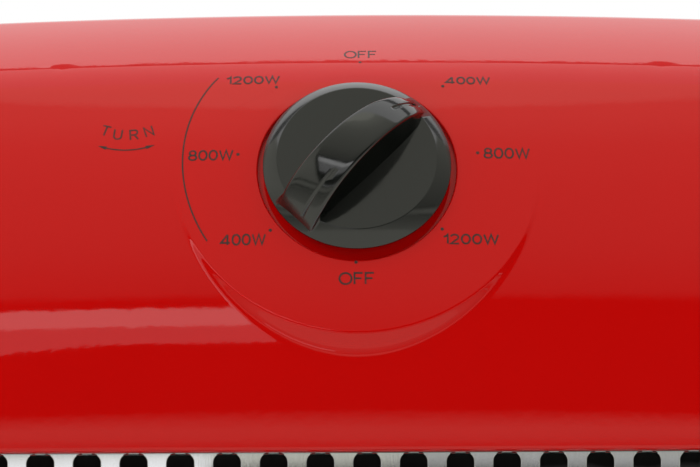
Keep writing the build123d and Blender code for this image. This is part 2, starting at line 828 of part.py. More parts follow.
with BuildPart() as control_shaft:
    with BuildSketch(dial_plane.offset(-shaft_bottom)):
        Circle(shaft_radius)
    extrude(amount=shaft_bottom + shaft_top)
    with BuildSketch(knob_plane.offset(knob_foot - 0.5)):
        with Locations((0, shaft_flat + shaft_radius)):
            Rectangle(4 * shaft_radius, 2 * shaft_radius)
    extrude(amount=shaft_top + 1.0, mode=Mode.SUBTRACT)
    with BuildSketch(dial_plane.offset(-switch_back - sheet_gap - shaft_clip_thickness - fit_gap)):
        Circle(shaft_radius + 1.0)
        Circle(shaft_radius - shaft_groove_depth, mode=Mode.SUBTRACT)
    extrude(amount=shaft_clip_thickness + 2 * fit_gap, mode=Mode.SUBTRACT)
control_shaft.part.label = "control_shaft"
export_step(control_shaft.part, "parts/control_shaft.step")

with BuildPart() as shaft_clip:
    with BuildSketch(dial_plane.offset(-switch_back - sheet_gap - shaft_clip_thickness)):
        Circle(shaft_clip_radius)
        Circle(shaft_radius - shaft_groove_depth + fit_gap, mode=Mode.SUBTRACT)
        with Locations((0, shaft_clip_radius)):
            Rectangle(3.5, 2 * shaft_clip_radius, mode=Mode.SUBTRACT)
    extrude(amount=shaft_clip_thickness)
shaft_clip.part.label = "shaft_clip"
export_step(shaft_clip.part, "parts/shaft_clip.step")

with BuildPart() as head_floor:
    with BuildSketch(level(floor_z)):
        RectangleRounded(floor_length, floor_depth, 8.0)
        Circle(tube_radius - tube_wall, mode=Mode.SUBTRACT)
    extrude(amount=floor_thickness)
head_floor.part.label = "head_floor"
export_step(head_floor.part, "parts/head_floor.step")

with BuildPart() as swivel_tube:
    with BuildSketch(level(tube_top_z - tube_flange_thickness)):
        Circle(tube_flange_radius)
    extrude(amount=tube_flange_thickness)
    with BuildSketch(level(tube_bottom_z)):
        Circle(tube_radius)
    extrude(amount=tube_top_z - tube_bottom_z)
    with BuildSketch(level(tube_bottom_z)):
        with Locations((0, tube_flat + tube_radius)):
            Rectangle(2 * tube_radius, 2 * tube_radius)
    extrude(amount=lever_top_z + sheet_gap - tube_bottom_z, mode=Mode.SUBTRACT)
    with BuildSketch(level(tube_bottom_z - 1.0)):
        Circle(tube_radius - tube_wall)
    extrude(amount=tube_top_z - tube_bottom_z + 2.0, mode=Mode.SUBTRACT)
swivel_tube.part.label = "swivel_tube"
export_step(swivel_tube.part, "parts/swivel_tube.step")

with BuildPart() as swing_lever:
    with BuildSketch(level(lever_z)):
        Circle(tube_radius + lever_hub_wall)
        with Locations((0, slot_centre_y)):
            RectangleRounded(2 * (slot_half + lever_rim), slot_run + 2 * lever_rim, 6.0)
        with Locations((0, -tube_radius - lever_hub_wall / 2)):
            Rectangle(2 * (slot_half + lever_rim), lever_hub_wall + 4.0)
        with Locations((0, slot_centre_y)):
            RectangleRounded(2 * slot_half, slot_run, roller_radius, mode=Mode.SUBTRACT)
        with BuildSketch(mode=Mode.PRIVATE) as tube_hole:
            Circle(tube_radius + fit_gap)
            with Locations((0, tube_flat + fit_gap + tube_radius)):
                Rectangle(2 * tube_radius, 2 * tube_radius, mode=Mode.SUBTRACT)
        add(tube_hole.sketch, mode=Mode.SUBTRACT)
    extrude(amount=lever_thickness)
swing_lever.part.label = "swing_lever"
export_step(swing_lever.part, "parts/swing_lever.step")

with BuildPart() as bearing_ring:
    with BuildSketch(level(bearing_ring_z)):
        Circle(tube_radius + ring_width)
        Circle(tube_radius + fit_gap, mode=Mode.SUBTRACT)
    extrude(amount=ring_thickness)
bearing_ring.part.label = "bearing_ring"
export_step(bearing_ring.part, "parts/bearing_ring.step")

with BuildPart() as base_cover:
    add(cover_form(0))
    shoulder = base_cover.edges().filter_by_position(Axis.Z, base_top_z - 0.01, base_top_z + 0.01)
    chamfer(shoulder, length=base_round / 2)
    add(cover_form(base_wall), mode=Mode.SUBTRACT)
    add(cover_posts())
    with BuildSketch(backing(cord_boss_y)):
        with Locations((0, cord_z)):
            Circle(cord_boss_radius)
    extrude(amount=base_half_depth - base_wall / 2 - cord_boss_y)
    with BuildSketch(level(bush_bottom_z)):
        Circle(bush_radius + fit_gap + sleeve_wall)
    extrude(amount=bush_length - 1.0)
    with BuildSketch(level(bush_bottom_z - 1.0)):
        Circle(bush_radius + fit_gap)
    extrude(amount=bush_length + 2.0, mode=Mode.SUBTRACT)
    with BuildSketch(level(plate_top_z)):
        with Locations(base_post_places):
            Circle(screw_hole_radius)
    extrude(amount=screw_grip + 1.0, mode=Mode.SUBTRACT)
    with BuildSketch(backing(cord_seat_y)):
        with Locations((0, cord_z)):
            Circle(cord_bush_flange + sheet_gap)
    extrude(amount=10.0, mode=Mode.SUBTRACT)
    with BuildSketch(backing(cord_boss_y - 1.0)):
        with Locations((0, cord_z)):
            Circle(cord_bush_radius + sheet_gap)
    extrude(amount=20.0, mode=Mode.SUBTRACT)
base_cover.part.label = "base_cover"
export_step(base_cover.part, "parts/base_cover.step")

foot_places = [(side * foot_x, depth * foot_y) for side in (-1, 1) for depth in (-1, 1)]
motor_ear_places = [(-motor_ear_x, crank_y), (motor_ear_x, crank_y)]

with BuildPart() as base_plate:
    with BuildSketch(level(plate_z)):
        SlotOverall(base_length - 2 * (base_wall + plate_inset), base_depth - 2 * (base_wall + plate_inset))
        with Locations(base_post_places):
            Circle(screw_hole_radius, mode=Mode.SUBTRACT)
        with Locations(foot_places):
            Circle(foot_stud_radius + screw_hole_gap, mode=Mode.SUBTRACT)
        with Locations((tip_x, tip_y)):
            Circle(tip_rod_radius + 0.4, mode=Mode.SUBTRACT)
    extrude(amount=plate_thickness)
base_plate.part.label = "base_plate"
export_step(base_plate.part, "parts/base_plate.step")

with BuildPart() as rubber_feet:
    with BuildSketch(level(0)):
        with Locations(foot_places):
            Circle(foot_radius)
    extrude(amount=foot_height)
    with BuildSketch(level(foot_height)):
        with Locations(foot_places):
            Circle(foot_stud_radius)
    extrude(amount=plate_thickness + sheet_gap)
    with BuildSketch(level(plate_top_z + sheet_gap)):
        with Locations(foot_places):
            Circle(foot_button_radius)
    extrude(amount=foot_button_height)
rubber_feet.part.label = "rubber_feet"
export_step(rubber_feet.part, "parts/rubber_feet.step")

with BuildPart() as base_screws:
    underside = Plane(origin=(0, 0, plate_z - sheet_gap), x_dir=(-1, 0, 0), z_dir=(0, 0, -1))
    add(screws(underside, base_post_places, screw_grip))
base_screws.part.label = "base_screws"
export_step(base_screws.part, "parts/base_screws.step")

with BuildPart() as bearing_bush:
    with BuildSketch(level(bush_bottom_z)):
        Circle(bush_radius)
        Circle(tube_radius + fit_gap, mode=Mode.SUBTRACT)
    extrude(amount=bush_length)
bearing_bush.part.label = "bearing_bush"
export_step(bearing_bush.part, "parts/bearing_bush.step")

with BuildPart() as thrust_washer:
    with BuildSketch(level(washer_z)):
        Circle(washer_radius)
        Circle(tube_radius + sheet_gap, mode=Mode.SUBTRACT)
    extrude(amount=washer_thickness)
thrust_washer.part.label = "thrust_washer"
export_step(thrust_washer.part, "parts/thrust_washer.step")

with BuildPart() as swing_motor:
    with BuildSketch(level(motor_z + sheet_gap)):
        with Locations((0, crank_y)):
            Circle(motor_radius)
    extrude(amount=motor_height - sheet_gap)
    with BuildSketch(level(motor_z + sheet_gap)):
        with Locations((0, crank_y)):
            Rectangle(2 * motor_ear_x, 2 * motor_ear_radius)
        with Locations(motor_ear_places):
            Circle(motor_ear_radius)
    extrude(amount=motor_ear_thickness)
    with BuildSketch(level(motor_top_z - motor_shaft_depth)):
        with Locations((0, crank_y)):
            Circle(shaft_radius + fit_gap)
    extrude(amount=motor_shaft_depth + 1.0, mode=Mode.SUBTRACT)
swing_motor.part.label = "swing_motor"
export_step(swing_motor.part, "parts/swing_motor.step")

with BuildPart() as crank_arm:
    with BuildSketch(level(crank_z)):
        with Locations((0, crank_y)):
            Circle(crank_hub_radius)
        with Locations((0, crank_y - crank_radius / 2)):
            SlotCenterToCenter(crank_radius, 2 * (pin_radius + 2.5), rotation=90)
    extrude(amount=crank_thickness)
    with BuildSketch(level(motor_top_z - motor_shaft_depth + sheet_gap)):
        with Locations((0, crank_y)):
            Circle(shaft_radius)
    extrude(amount=motor_shaft_depth + crank_gap)
    with BuildSketch(level(crank_z)):
        with Locations((0, crank_y - crank_radius)):
            Circle(pin_radius)
    extrude(amount=lever_top_z + 1.0 - crank_z)
crank_arm.part.label = "crank_arm"
export_step(crank_arm.part, "parts/crank_arm.step")

with BuildPart() as crank_roller:
    with BuildSketch(level(lever_z - sheet_gap)):
        with Locations((0, crank_y - crank_radius)):
            Circle(roller_radius)
            Circle(pin_radius + fit_gap, mode=Mode.SUBTRACT)
    extrude(amount=lever_thickness + 2 * sheet_gap)
crank_roller.part.label = "crank_roller"
export_step(crank_roller.part, "parts/crank_roller.step")

with BuildPart() as tip_guide:
    with BuildSketch(level(plate_top_z + sheet_gap)):
        with Locations((tip_x, tip_y)):
            Circle(tip_guide_radius + tip_guide_wall)
            Circle(tip_guide_radius, mode=Mode.SUBTRACT)
    extrude(amount=tip_guide_height - sheet_gap)
    with BuildSketch(level(tip_cap_z)):
        with Locations((tip_x, tip_y)):
            Circle(tip_guide_radius + tip_guide_wall)
        with Locations((tip_x, tip_y + 7.0)):
            Rectangle(tip_switch_length, tip_switch_width)
        with Locations((tip_x, tip_y)):
            Circle(tip_stem_radius + 0.3, mode=Mode.SUBTRACT)
    extrude(amount=tip_guide_wall)
tip_guide.part.label = "tip_guide"
export_step(tip_guide.part, "parts/tip_guide.step")

with BuildPart() as tip_plunger:
    with BuildSketch(level(0)):
        with Locations((tip_x, tip_y)):
            Circle(tip_rod_radius)
    extrude(amount=tip_collar_z)
    with BuildSketch(level(tip_collar_z)):
        with Locations((tip_x, tip_y)):
            Circle(tip_collar_radius)
    extrude(amount=tip_collar_thickness)
    with BuildSketch(level(tip_collar_z)):
        with Locations((tip_x, tip_y)):
            Circle(tip_stem_radius)
    extrude(amount=tip_top_z - tip_collar_z)
tip_plunger.part.label = "tip_plunger"
export_step(tip_plunger.part, "parts/tip_plunger.step")

spring_z = tip_collar_z + tip_collar_thickness + sheet_gap

with BuildPart() as tip_spring:
    with BuildSketch(level(spring_z)):
        with Locations((tip_x, tip_y)):
            Circle(tip_spring_radius)
            Circle(tip_spring_radius - tip_spring_wall, mode=Mode.SUBTRACT)
    extrude(amount=tip_cap_z - sheet_gap - spring_z)
tip_spring.part.label = "tip_spring"
export_step(tip_spring.part, "parts/tip_spring.step")

switch_z = tip_cap_z + tip_guide_wall + sheet_gap

with BuildPart() as tip_switch:
    with BuildSketch(level(switch_z)):
        with Locations((tip_x, tip_y + 7.0)):
            Rectangle(tip_switch_length, tip_switch_width)
    extrude(amount=tip_switch_height)
    with BuildSketch(level(tip_top_z + 0.4)):
        with Locations((tip_x, tip_y + 1.0)):
            Rectangle(5.0, 6.0)
    extrude(amount=tip_leaf_thickness)
tip_switch.part.label = "tip_switch"
export_step(tip_switch.part, "parts/tip_switch.step")

with BuildPart() as terminal_block:
    with BuildSketch(level(plate_top_z + sheet_gap)):
        with Locations((terminal_x, terminal_y)):
            Rectangle(terminal_length, terminal_width)
    extrude(amount=terminal_height)
    with BuildSketch(level(plate_top_z + terminal_height - 5.0)):
        with Locations((terminal_x, terminal_y)):
            with GridLocations(11.0, 9.0, 3, 2):
                Rectangle(5.0, 4.4)
    extrude(amount=6.0, mode=Mode.SUBTRACT)
terminal_block.part.label = "terminal_block"
export_step(terminal_block.part, "parts/terminal_block.step")

with BuildPart() as cord_clamp:
    with BuildSketch(level(plate_top_z + sheet_gap)):
        with Locations((0, clamp_y)):
            Rectangle(clamp_length, clamp_width)
    extrude(amount=clamp_height)
    with BuildSketch(backing(clamp_y - clamp_width)):
        with Locations((0, cord_z)):
            Circle(cord_hole_radius + clamp_hole_gap)
    extrude(amount=2 * clamp_width, mode=Mode.SUBTRACT)
cord_clamp.part.label = "cord_clamp"
export_step(cord_clamp.part, "parts/cord_clamp.step")

with BuildPart() as cord_bushing:
    with BuildSketch(backing(cord_seat_y + sheet_gap)):
        with Locations((0, cord_z)):
            Circle(cord_bush_flange)
    extrude(amount=cord_flange_thickness)
    with BuildSketch(backing(cord_seat_y + sheet_gap)):
        with Locations((0, cord_z)):
            Circle(cord_bush_radius)
    extrude(amount=-(cord_seat_y - cord_boss_y + 5.0))
    with BuildSketch(backing(cord_boss_y - sheet_gap)):
        with Locations((0, cord_z)):
            Circle(cord_lock_radius)
    extrude(amount=-2.0)
    with BuildSketch(backing(cord_seat_y + 10.0)):
        with Locations((0, cord_z)):
            Circle(cord_hole_radius)
    extrude(amount=-40.0, mode=Mode.SUBTRACT)
cord_bushing.part.label = "cord_bushing"
export_step(cord_bushing.part, "parts/cord_bushing.step")
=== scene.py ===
"""Looks of a halogen heater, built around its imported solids. Shapes are worked out in
millimetres and turned into metres when a mesh is made."""

import math

import bpy
import numpy as np
from bpy.props import FloatProperty, FloatVectorProperty, IntProperty, PointerProperty
from bpy.types import Operator, Panel, PropertyGroup
from mathutils import Matrix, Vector
from mathutils.geometry import delaunay_2d_cdt


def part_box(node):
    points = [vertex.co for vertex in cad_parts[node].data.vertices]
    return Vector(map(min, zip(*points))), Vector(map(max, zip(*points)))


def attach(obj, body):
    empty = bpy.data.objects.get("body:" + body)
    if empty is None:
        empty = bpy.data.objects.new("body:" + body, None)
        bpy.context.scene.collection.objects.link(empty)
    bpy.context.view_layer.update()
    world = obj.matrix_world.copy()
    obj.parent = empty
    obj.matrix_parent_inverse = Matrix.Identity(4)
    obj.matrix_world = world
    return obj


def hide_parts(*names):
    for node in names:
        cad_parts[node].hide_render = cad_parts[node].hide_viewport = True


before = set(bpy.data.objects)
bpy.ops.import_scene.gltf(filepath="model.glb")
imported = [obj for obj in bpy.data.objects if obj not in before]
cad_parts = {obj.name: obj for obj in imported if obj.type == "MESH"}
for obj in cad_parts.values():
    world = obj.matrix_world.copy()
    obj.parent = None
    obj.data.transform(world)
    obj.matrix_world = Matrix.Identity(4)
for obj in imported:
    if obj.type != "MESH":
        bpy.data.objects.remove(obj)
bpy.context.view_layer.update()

bl_info = {
    "name": "Halogen heater looks",
    "version": (1, 0, 0),
    "blender": (4, 5, 0),
    "location": "View3D > Sidebar > Heater",
    "description": "Builds the visible surfaces of a swivelling halogen heater",
    "category": "Object",
}

TO_METRES = 0.001
MIRROR = np.array([-1.0, 1.0, 1.0])


def corners_of(box):
    """Low and high corner of a box, in millimetres."""
    return (np.array(corner) * 1000 for corner in box)


FRONT_LOW, FRONT_HIGH = corners_of(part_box("front_housing"))
REAR_LOW, REAR_HIGH = corners_of(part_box("rear_housing"))
GUARD_LOW, GUARD_HIGH = corners_of(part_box("guard"))
COVER_LOW, COVER_HIGH = corners_of(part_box("base_cover"))


# ---------------------------------------------------------------- sizes and colours


def length(name, default, description):
    """A length a user may change, given in millimetres and kept in metres."""
    return FloatProperty(
        name=name, description=description, default=default * TO_METRES,
        min=0.0, unit="LENGTH", precision=5,
    )


def colour(name, default, description):
    """A colour a user may change."""
    return FloatVectorProperty(
        name=name, description=description, default=default,
        size=3, min=0.0, max=1.0, subtype="COLOR",
    )


class HeaterSizes(PropertyGroup):
    """Sizes of the heater's visible surfaces."""

    head_width: length("Head width", FRONT_HIGH[0] - FRONT_LOW[0], "Width of the red head")
    edge_round: length("Edge round", 12.0, "Radius of the head's rounded edges")
    shoulder_radius: length("Shoulder radius", 60.0, "Radius of the head's upper corners")
    foot_corner: length("Foot corner", 24.0, "Radius of the head's lower corners")
    wall: length("Wall", 2.5, "Thickness of the mouldings")
    panel_start: length("Panel start", 405.0, "Height where the control panel starts to curve back")
    panel_radius: length("Panel radius", 132.0, "Radius of the control panel's curve")
    brow_radius: length("Brow radius", 27.05, "Radius of the brow above the panel")
    crease_radius: length("Crease radius", 8.0, "Radius of the crease between brow and deck")
    deck_radius: length("Deck radius", 249.0, "Radius of the deck above the brow")
    crest_radius: length("Crest radius", 18.0, "Radius of the crest")
    back_corner_radius: length("Back corner radius", 38.0, "Radius of the upper back corner")
    crown_radius: length("Crown radius", 2600.0, "Radius of the crown from side to side")
    sink_depth: length("Sink mark depth", 0.06, "Depth of the two sink marks on the crease")
    dial_height: length("Dial height", 471.0, "Height of the dial's centre")
    pad_radius: length("Pad radius", 44.3, "Radius of the raised dial pad")
    pad_curve: length("Pad curve", 190.0, "Radius of the dial pad's own curve")
    seat_radius: length("Seat radius", 24.3, "Radius of the ring the knob stands in")
    seat_depth: length("Seat depth", 1.4, "Depth of the ring the knob stands in")
    window_width: length("Window width", 253.2, "Width of the window in the front")
    window_height: length("Window height", 269.0, "Height of the window in the front")
    window_round: length("Window round", 1.4, "Radius of the window's rounded lip")
    window_corner: length("Window corner", 12.0, "Corner radius of the window")
    slot_width: length("Slot width", 6.5, "Width of one slot in the guard")
    slot_pitch: length("Slot pitch", 11.2, "Distance from one slot to the next")
    slot_corner: length("Slot corner", 2.0, "Corner radius of a slot")
    slot_columns: IntProperty(
        name="Slot columns", description="Slots side by side in the guard", default=21, min=1
    )
    slot_rows: IntProperty(
        name="Slot rows", description="Rows of slots in the guard", default=3, min=1
    )
    guard_roll: length("Guard roll", 0.5, "Radius of the guard's rolled edge")
    knob_radius: length("Knob radius", 23.0, "Radius of the knob's skirt")
    knob_height: length("Knob height", 17.6, "Height of the knob's grip above the panel")
    grip_radius: length("Grip radius", 23.4, "Radius of the half-moon grip")
    print_height: length("Print height", 0.05, "How far the print stands off the panel")
    stroke: length("Print stroke", 0.43, "Width of the print's strokes")


class HeaterColours(PropertyGroup):
    """Colours of the heater's finishes, in linear light."""

    red_plastic: colour("Red plastic", (0.548, 0.0018, 0.0012), "Glossy plastic of the head")
    print_ink: colour("Print ink", (0.040, 0.022, 0.018), "Ink of the dial's markings")
    knob_black: colour("Knob black", (0.0036, 0.0044, 0.0034), "Plastic of the knob")
    base_black: colour("Base black", (0.014, 0.014, 0.015), "Plastic of the base")
    guard_steel: colour("Guard steel", (0.72, 0.73, 0.74), "Brushed steel of the guard")
    floor_tone: colour("Floor", (0.72, 0.72, 0.72), "Plain studio floor")


def millimetres(name):
    """One size of the heater, in millimetres."""
    return getattr(bpy.context.scene.heater_sizes, name) / TO_METRES


def tint(name):
    """One colour of the heater, with full opacity."""
    return (*getattr(bpy.context.scene.heater_colours, name), 1.0)


# ---------------------------------------------------------------- meshes


def unit(vectors):
    """Vectors of length one."""
    vectors = np.asarray(vectors, float)
    return vectors / np.maximum(np.linalg.norm(vectors, axis=-1, keepdims=True), 1e-12)


def around(turns):
    """Flat directions at those turns."""
    return np.column_stack([np.cos(turns), np.sin(turns)])


def standing(flat, y=0.0):
    """Flat points or directions, given as x and z, put in space at depth y."""
    return np.column_stack([flat[:, 0], np.zeros(len(flat)) + y, flat[:, 1]])


def ring_edges(start, count):
    """Edges of a closed loop of corners that are numbered on from start."""
    return [(start + i, start + (i + 1) % count) for i in range(count)]


def loop_edges(loops, start=0):
    """Edges of closed loops whose corners follow each other."""
    edges = []
    for loop in loops:
        edges += ring_edges(start, len(loop))
        start += len(loop)
    return edges


def odd_crossings(points, edges):
    """Which points lie inside the loops that the edges make."""
    inside = np.zeros(len(points), bool)
    x, y = points[:, 0], points[:, 1]
    for (x0, y0), (x1, y1) in edges:
        if y0 == y1:
            continue
        crosses = (y0 > y) != (y1 > y)
        inside ^= crosses & (x < x0 + (y - y0) * (x1 - x0) / (y1 - y0))
    return inside


def fill(loops):
    """Corners and triangles of the flat area between closed loops."""
    return fill_edges(np.vstack(loops), loop_edges(loops))


def triangulated(corners, edges, gap):
    """Corners and triangles of a flat net that keeps those edges."""
    result = delaunay_2d_cdt([tuple(corner) for corner in corners], edges, [], 0, gap)
    return np.array([tuple(v) for v in result[0]]), np.array(result[2])


def fill_edges(corners, edges, lines=()):
    """Corners and triangles of the flat area that the edges enclose. Lines are kept
    as edges of the triangles too."""
    flat, triangles = triangulated(corners, edges + list(lines), 1e-7)
    middles = flat[triangles].mean(axis=1)
    inside = odd_crossings(middles, [(corners[a], corners[b]) for a, b in edges])
    return flat, triangles[inside]


class Surface:
    """Patches gathered into one mesh, in which each patch keeps its own shading."""

    def __init__(self):
        self.points, self.normals, self.faces, self.count = [], [], [], 0

    def add(self, points, normals, faces):
        points = np.asarray(points, float).reshape(-1, 3)
        self.points.append(points)
        normals = np.asarray(normals, float).reshape(-1, 3)
        self.normals.append(np.broadcast_to(normals, points.shape))
        self.faces += [tuple(int(i) + self.count for i in face) for face in faces]
        self.count += len(points)

    def grid(self, points, normals, closed=False, keep=None):
        """A patch of rows and columns of points."""
        points = np.asarray(points, float)
        rows, columns = points.shape[:2]
        normals = np.broadcast_to(normals, points.shape)
        faces = []
        for r in range(rows - 1):
            for c in range(columns if closed else columns - 1):
                if keep is None or keep[r, c]:
                    near, far = r * columns, (r + 1) * columns
                    d = (c + 1) % columns
                    faces.append((near + c, near + d, far + d, far + c))
        self.add(points, normals, faces)

    def mirrored(self, points, normals, keep=None):
        """A patch and its mirror image on the other side of the object."""
        for way in (1.0, MIRROR):
            self.grid(points * way, normals * way, keep=keep)

    def tube(self, first, last, normals):
        """A closed band between two rings of points."""
        self.grid(np.stack([first, last]), normals, closed=True)

    def plate(self, loops, place, normal):
        """A flat patch between loops, put in space by place."""
        flat, triangles = fill(loops)
        self.add(place(flat), normal, triangles)

    def build(self, name, material):
        """The finished object: corners that meet are joined, and faces turn outwards."""
        points, normals = np.vstack(self.points), np.vstack(self.normals)
        keys = np.round(points * 2000 + 0.137).astype(np.int64)
        _, first, joined = np.unique(keys, axis=0, return_index=True, return_inverse=True)
        joined = joined.reshape(-1)
        verts = points[first]
        faces, corner_normals = [], []
        for face in self.faces:
            ring = []
            for corner in face:
                if not ring or joined[corner] != joined[ring[-1]]:
                    ring.append(corner)
            if len(ring) > 1 and joined[ring[0]] == joined[ring[-1]]:
                ring.pop()
            if len(set(joined[i] for i in ring)) < 3:
                continue
            corner = points[ring]
            way = np.cross(corner[1] - corner[0], corner[2] - corner[0])
            if len(ring) == 4:
                way = np.cross(corner[2] - corner[0], corner[3] - corner[1])
            if np.dot(way, normals[ring].sum(axis=0)) < 0:
                ring.reverse()
            faces.append([int(joined[i]) for i in ring])
            corner_normals += [tuple(n) for n in normals[ring]]
        mesh = bpy.data.meshes.new(name)
        mesh.from_pydata((verts * TO_METRES).tolist(), [], faces)
        mesh.polygons.foreach_set("use_smooth", [True] * len(faces))
        mesh.update()
        mesh.normals_split_custom_set(corner_normals)
        return place_object(name, mesh, material)


def place_object(name, mesh, material):
    """An object of that mesh in the scene, with its material."""
    piece = bpy.data.objects.new(name, mesh)
    bpy.context.scene.collection.objects.link(piece)
    mesh.materials.clear()
    mesh.materials.append(material)
    return piece


def finished(piece):
    """A new object with the piece's modifiers made real, in place of the piece."""
    bpy.context.view_layer.update()
    name, material = piece.name, piece.data.materials[0]
    depsgraph = bpy.context.evaluated_depsgraph_get()
    mesh = bpy.data.meshes.new_from_object(piece.evaluated_get(depsgraph))
    bpy.data.objects.remove(piece, do_unlink=True)
    mesh.name = name
    return place_object(name, mesh, material)


def rounded_loop(width, height, radius, steps, centre=(0.0, 0.0)):
    """A rectangle with rounded corners, and the outward direction at each point."""
    turns = np.concatenate([q * 90.0 + np.linspace(0, 90, steps + 1) for q in range(4)])
    out = around(np.radians(turns))
    quarter = np.repeat([[1, 1], [-1, 1], [-1, -1], [1, -1]], steps + 1, axis=0)
    middle = quarter * [width / 2 - radius, height / 2 - radius] + np.asarray(centre)
    return middle + out * radius, out


def round_distance(flat, half, radius):
    """How far points are outside a rounded rectangle round the origin, less than
    nothing inside it, and the direction that leads out."""
    way = np.where(flat < 0, -1.0, 1.0)
    over = np.abs(flat) - (half - radius)
    corner = np.maximum(over, 0)
    distance = np.hypot(corner[:, 0], corner[:, 1]) + np.minimum(over.max(axis=1), 0) - radius
    straight = np.column_stack([over[:, 0] >= over[:, 1], over[:, 0] < over[:, 1]]).astype(float)
    both = (over > 0).all(axis=1)
    return distance, np.where(both[:, None], unit(corner), straight) * way


def whole_turn(count):
    """Turns evenly spread round a circle."""
    return np.linspace(0, 2 * np.pi, count, endpoint=False)


def circle_loop(radius, count, centre=(0.0, 0.0)):
    """A circle, and the outward direction at each point."""
    out = around(whole_turn(count))
    return out * radius + np.asarray(centre), out


def upright(y):
    """Puts flat points, given as x and z, in a plane that faces the front or back."""
    return lambda flat: standing(flat, y)


def lying(z):
    """Puts flat points, given as x and y, in a level plane."""
    return lambda flat: np.column_stack([flat, np.full(len(flat), z)])


def hole_edge(surface, loop, out, y_face, y_end, lip):
    """The rounded rim and the wall of a hole in the back, from y_face in to y_end."""
    rings, normals = [], []
    for turn in np.linspace(0, np.pi / 2, 4):
        depth = lip * (1 - math.cos(turn))
        rings.append(standing(loop + out * lip * (1 - math.sin(turn)), y_face - depth))
        normals.append(standing(-out * math.sin(turn), math.cos(turn)))
    surface.grid(np.stack(rings), unit(np.stack(normals)), closed=True)
    surface.tube(standing(loop, y_face - lip), standing(loop, y_end), -standing(out))
    return loop + out * lip


# ---------------------------------------------------------------- shape of the head


# arcs of the side outline above the flat panel, and the slope at which each ends
OUTLINE_ARCS = (
    ("panel_radius", 40.5),
    ("brow_radius", 61.0),
    ("crease_radius", 66.52),
    ("deck_radius", 75.0),
    ("crest_radius", 100.0),
)
# place across, width and share of the depth of each sink mark on the crease, and
# last of a faint rise beside the first of them
SINK_MARKS = ((-74.1, 2.3, 1.0), (76.8, 2.3, 1.0), (-78.0, 1.3, -0.45))
PAD_SAG = 2.1  # how much nearer the pad's rim is at its lowest point
NECK_HOLE = 33.0
WELL_DEPTH = 14.0


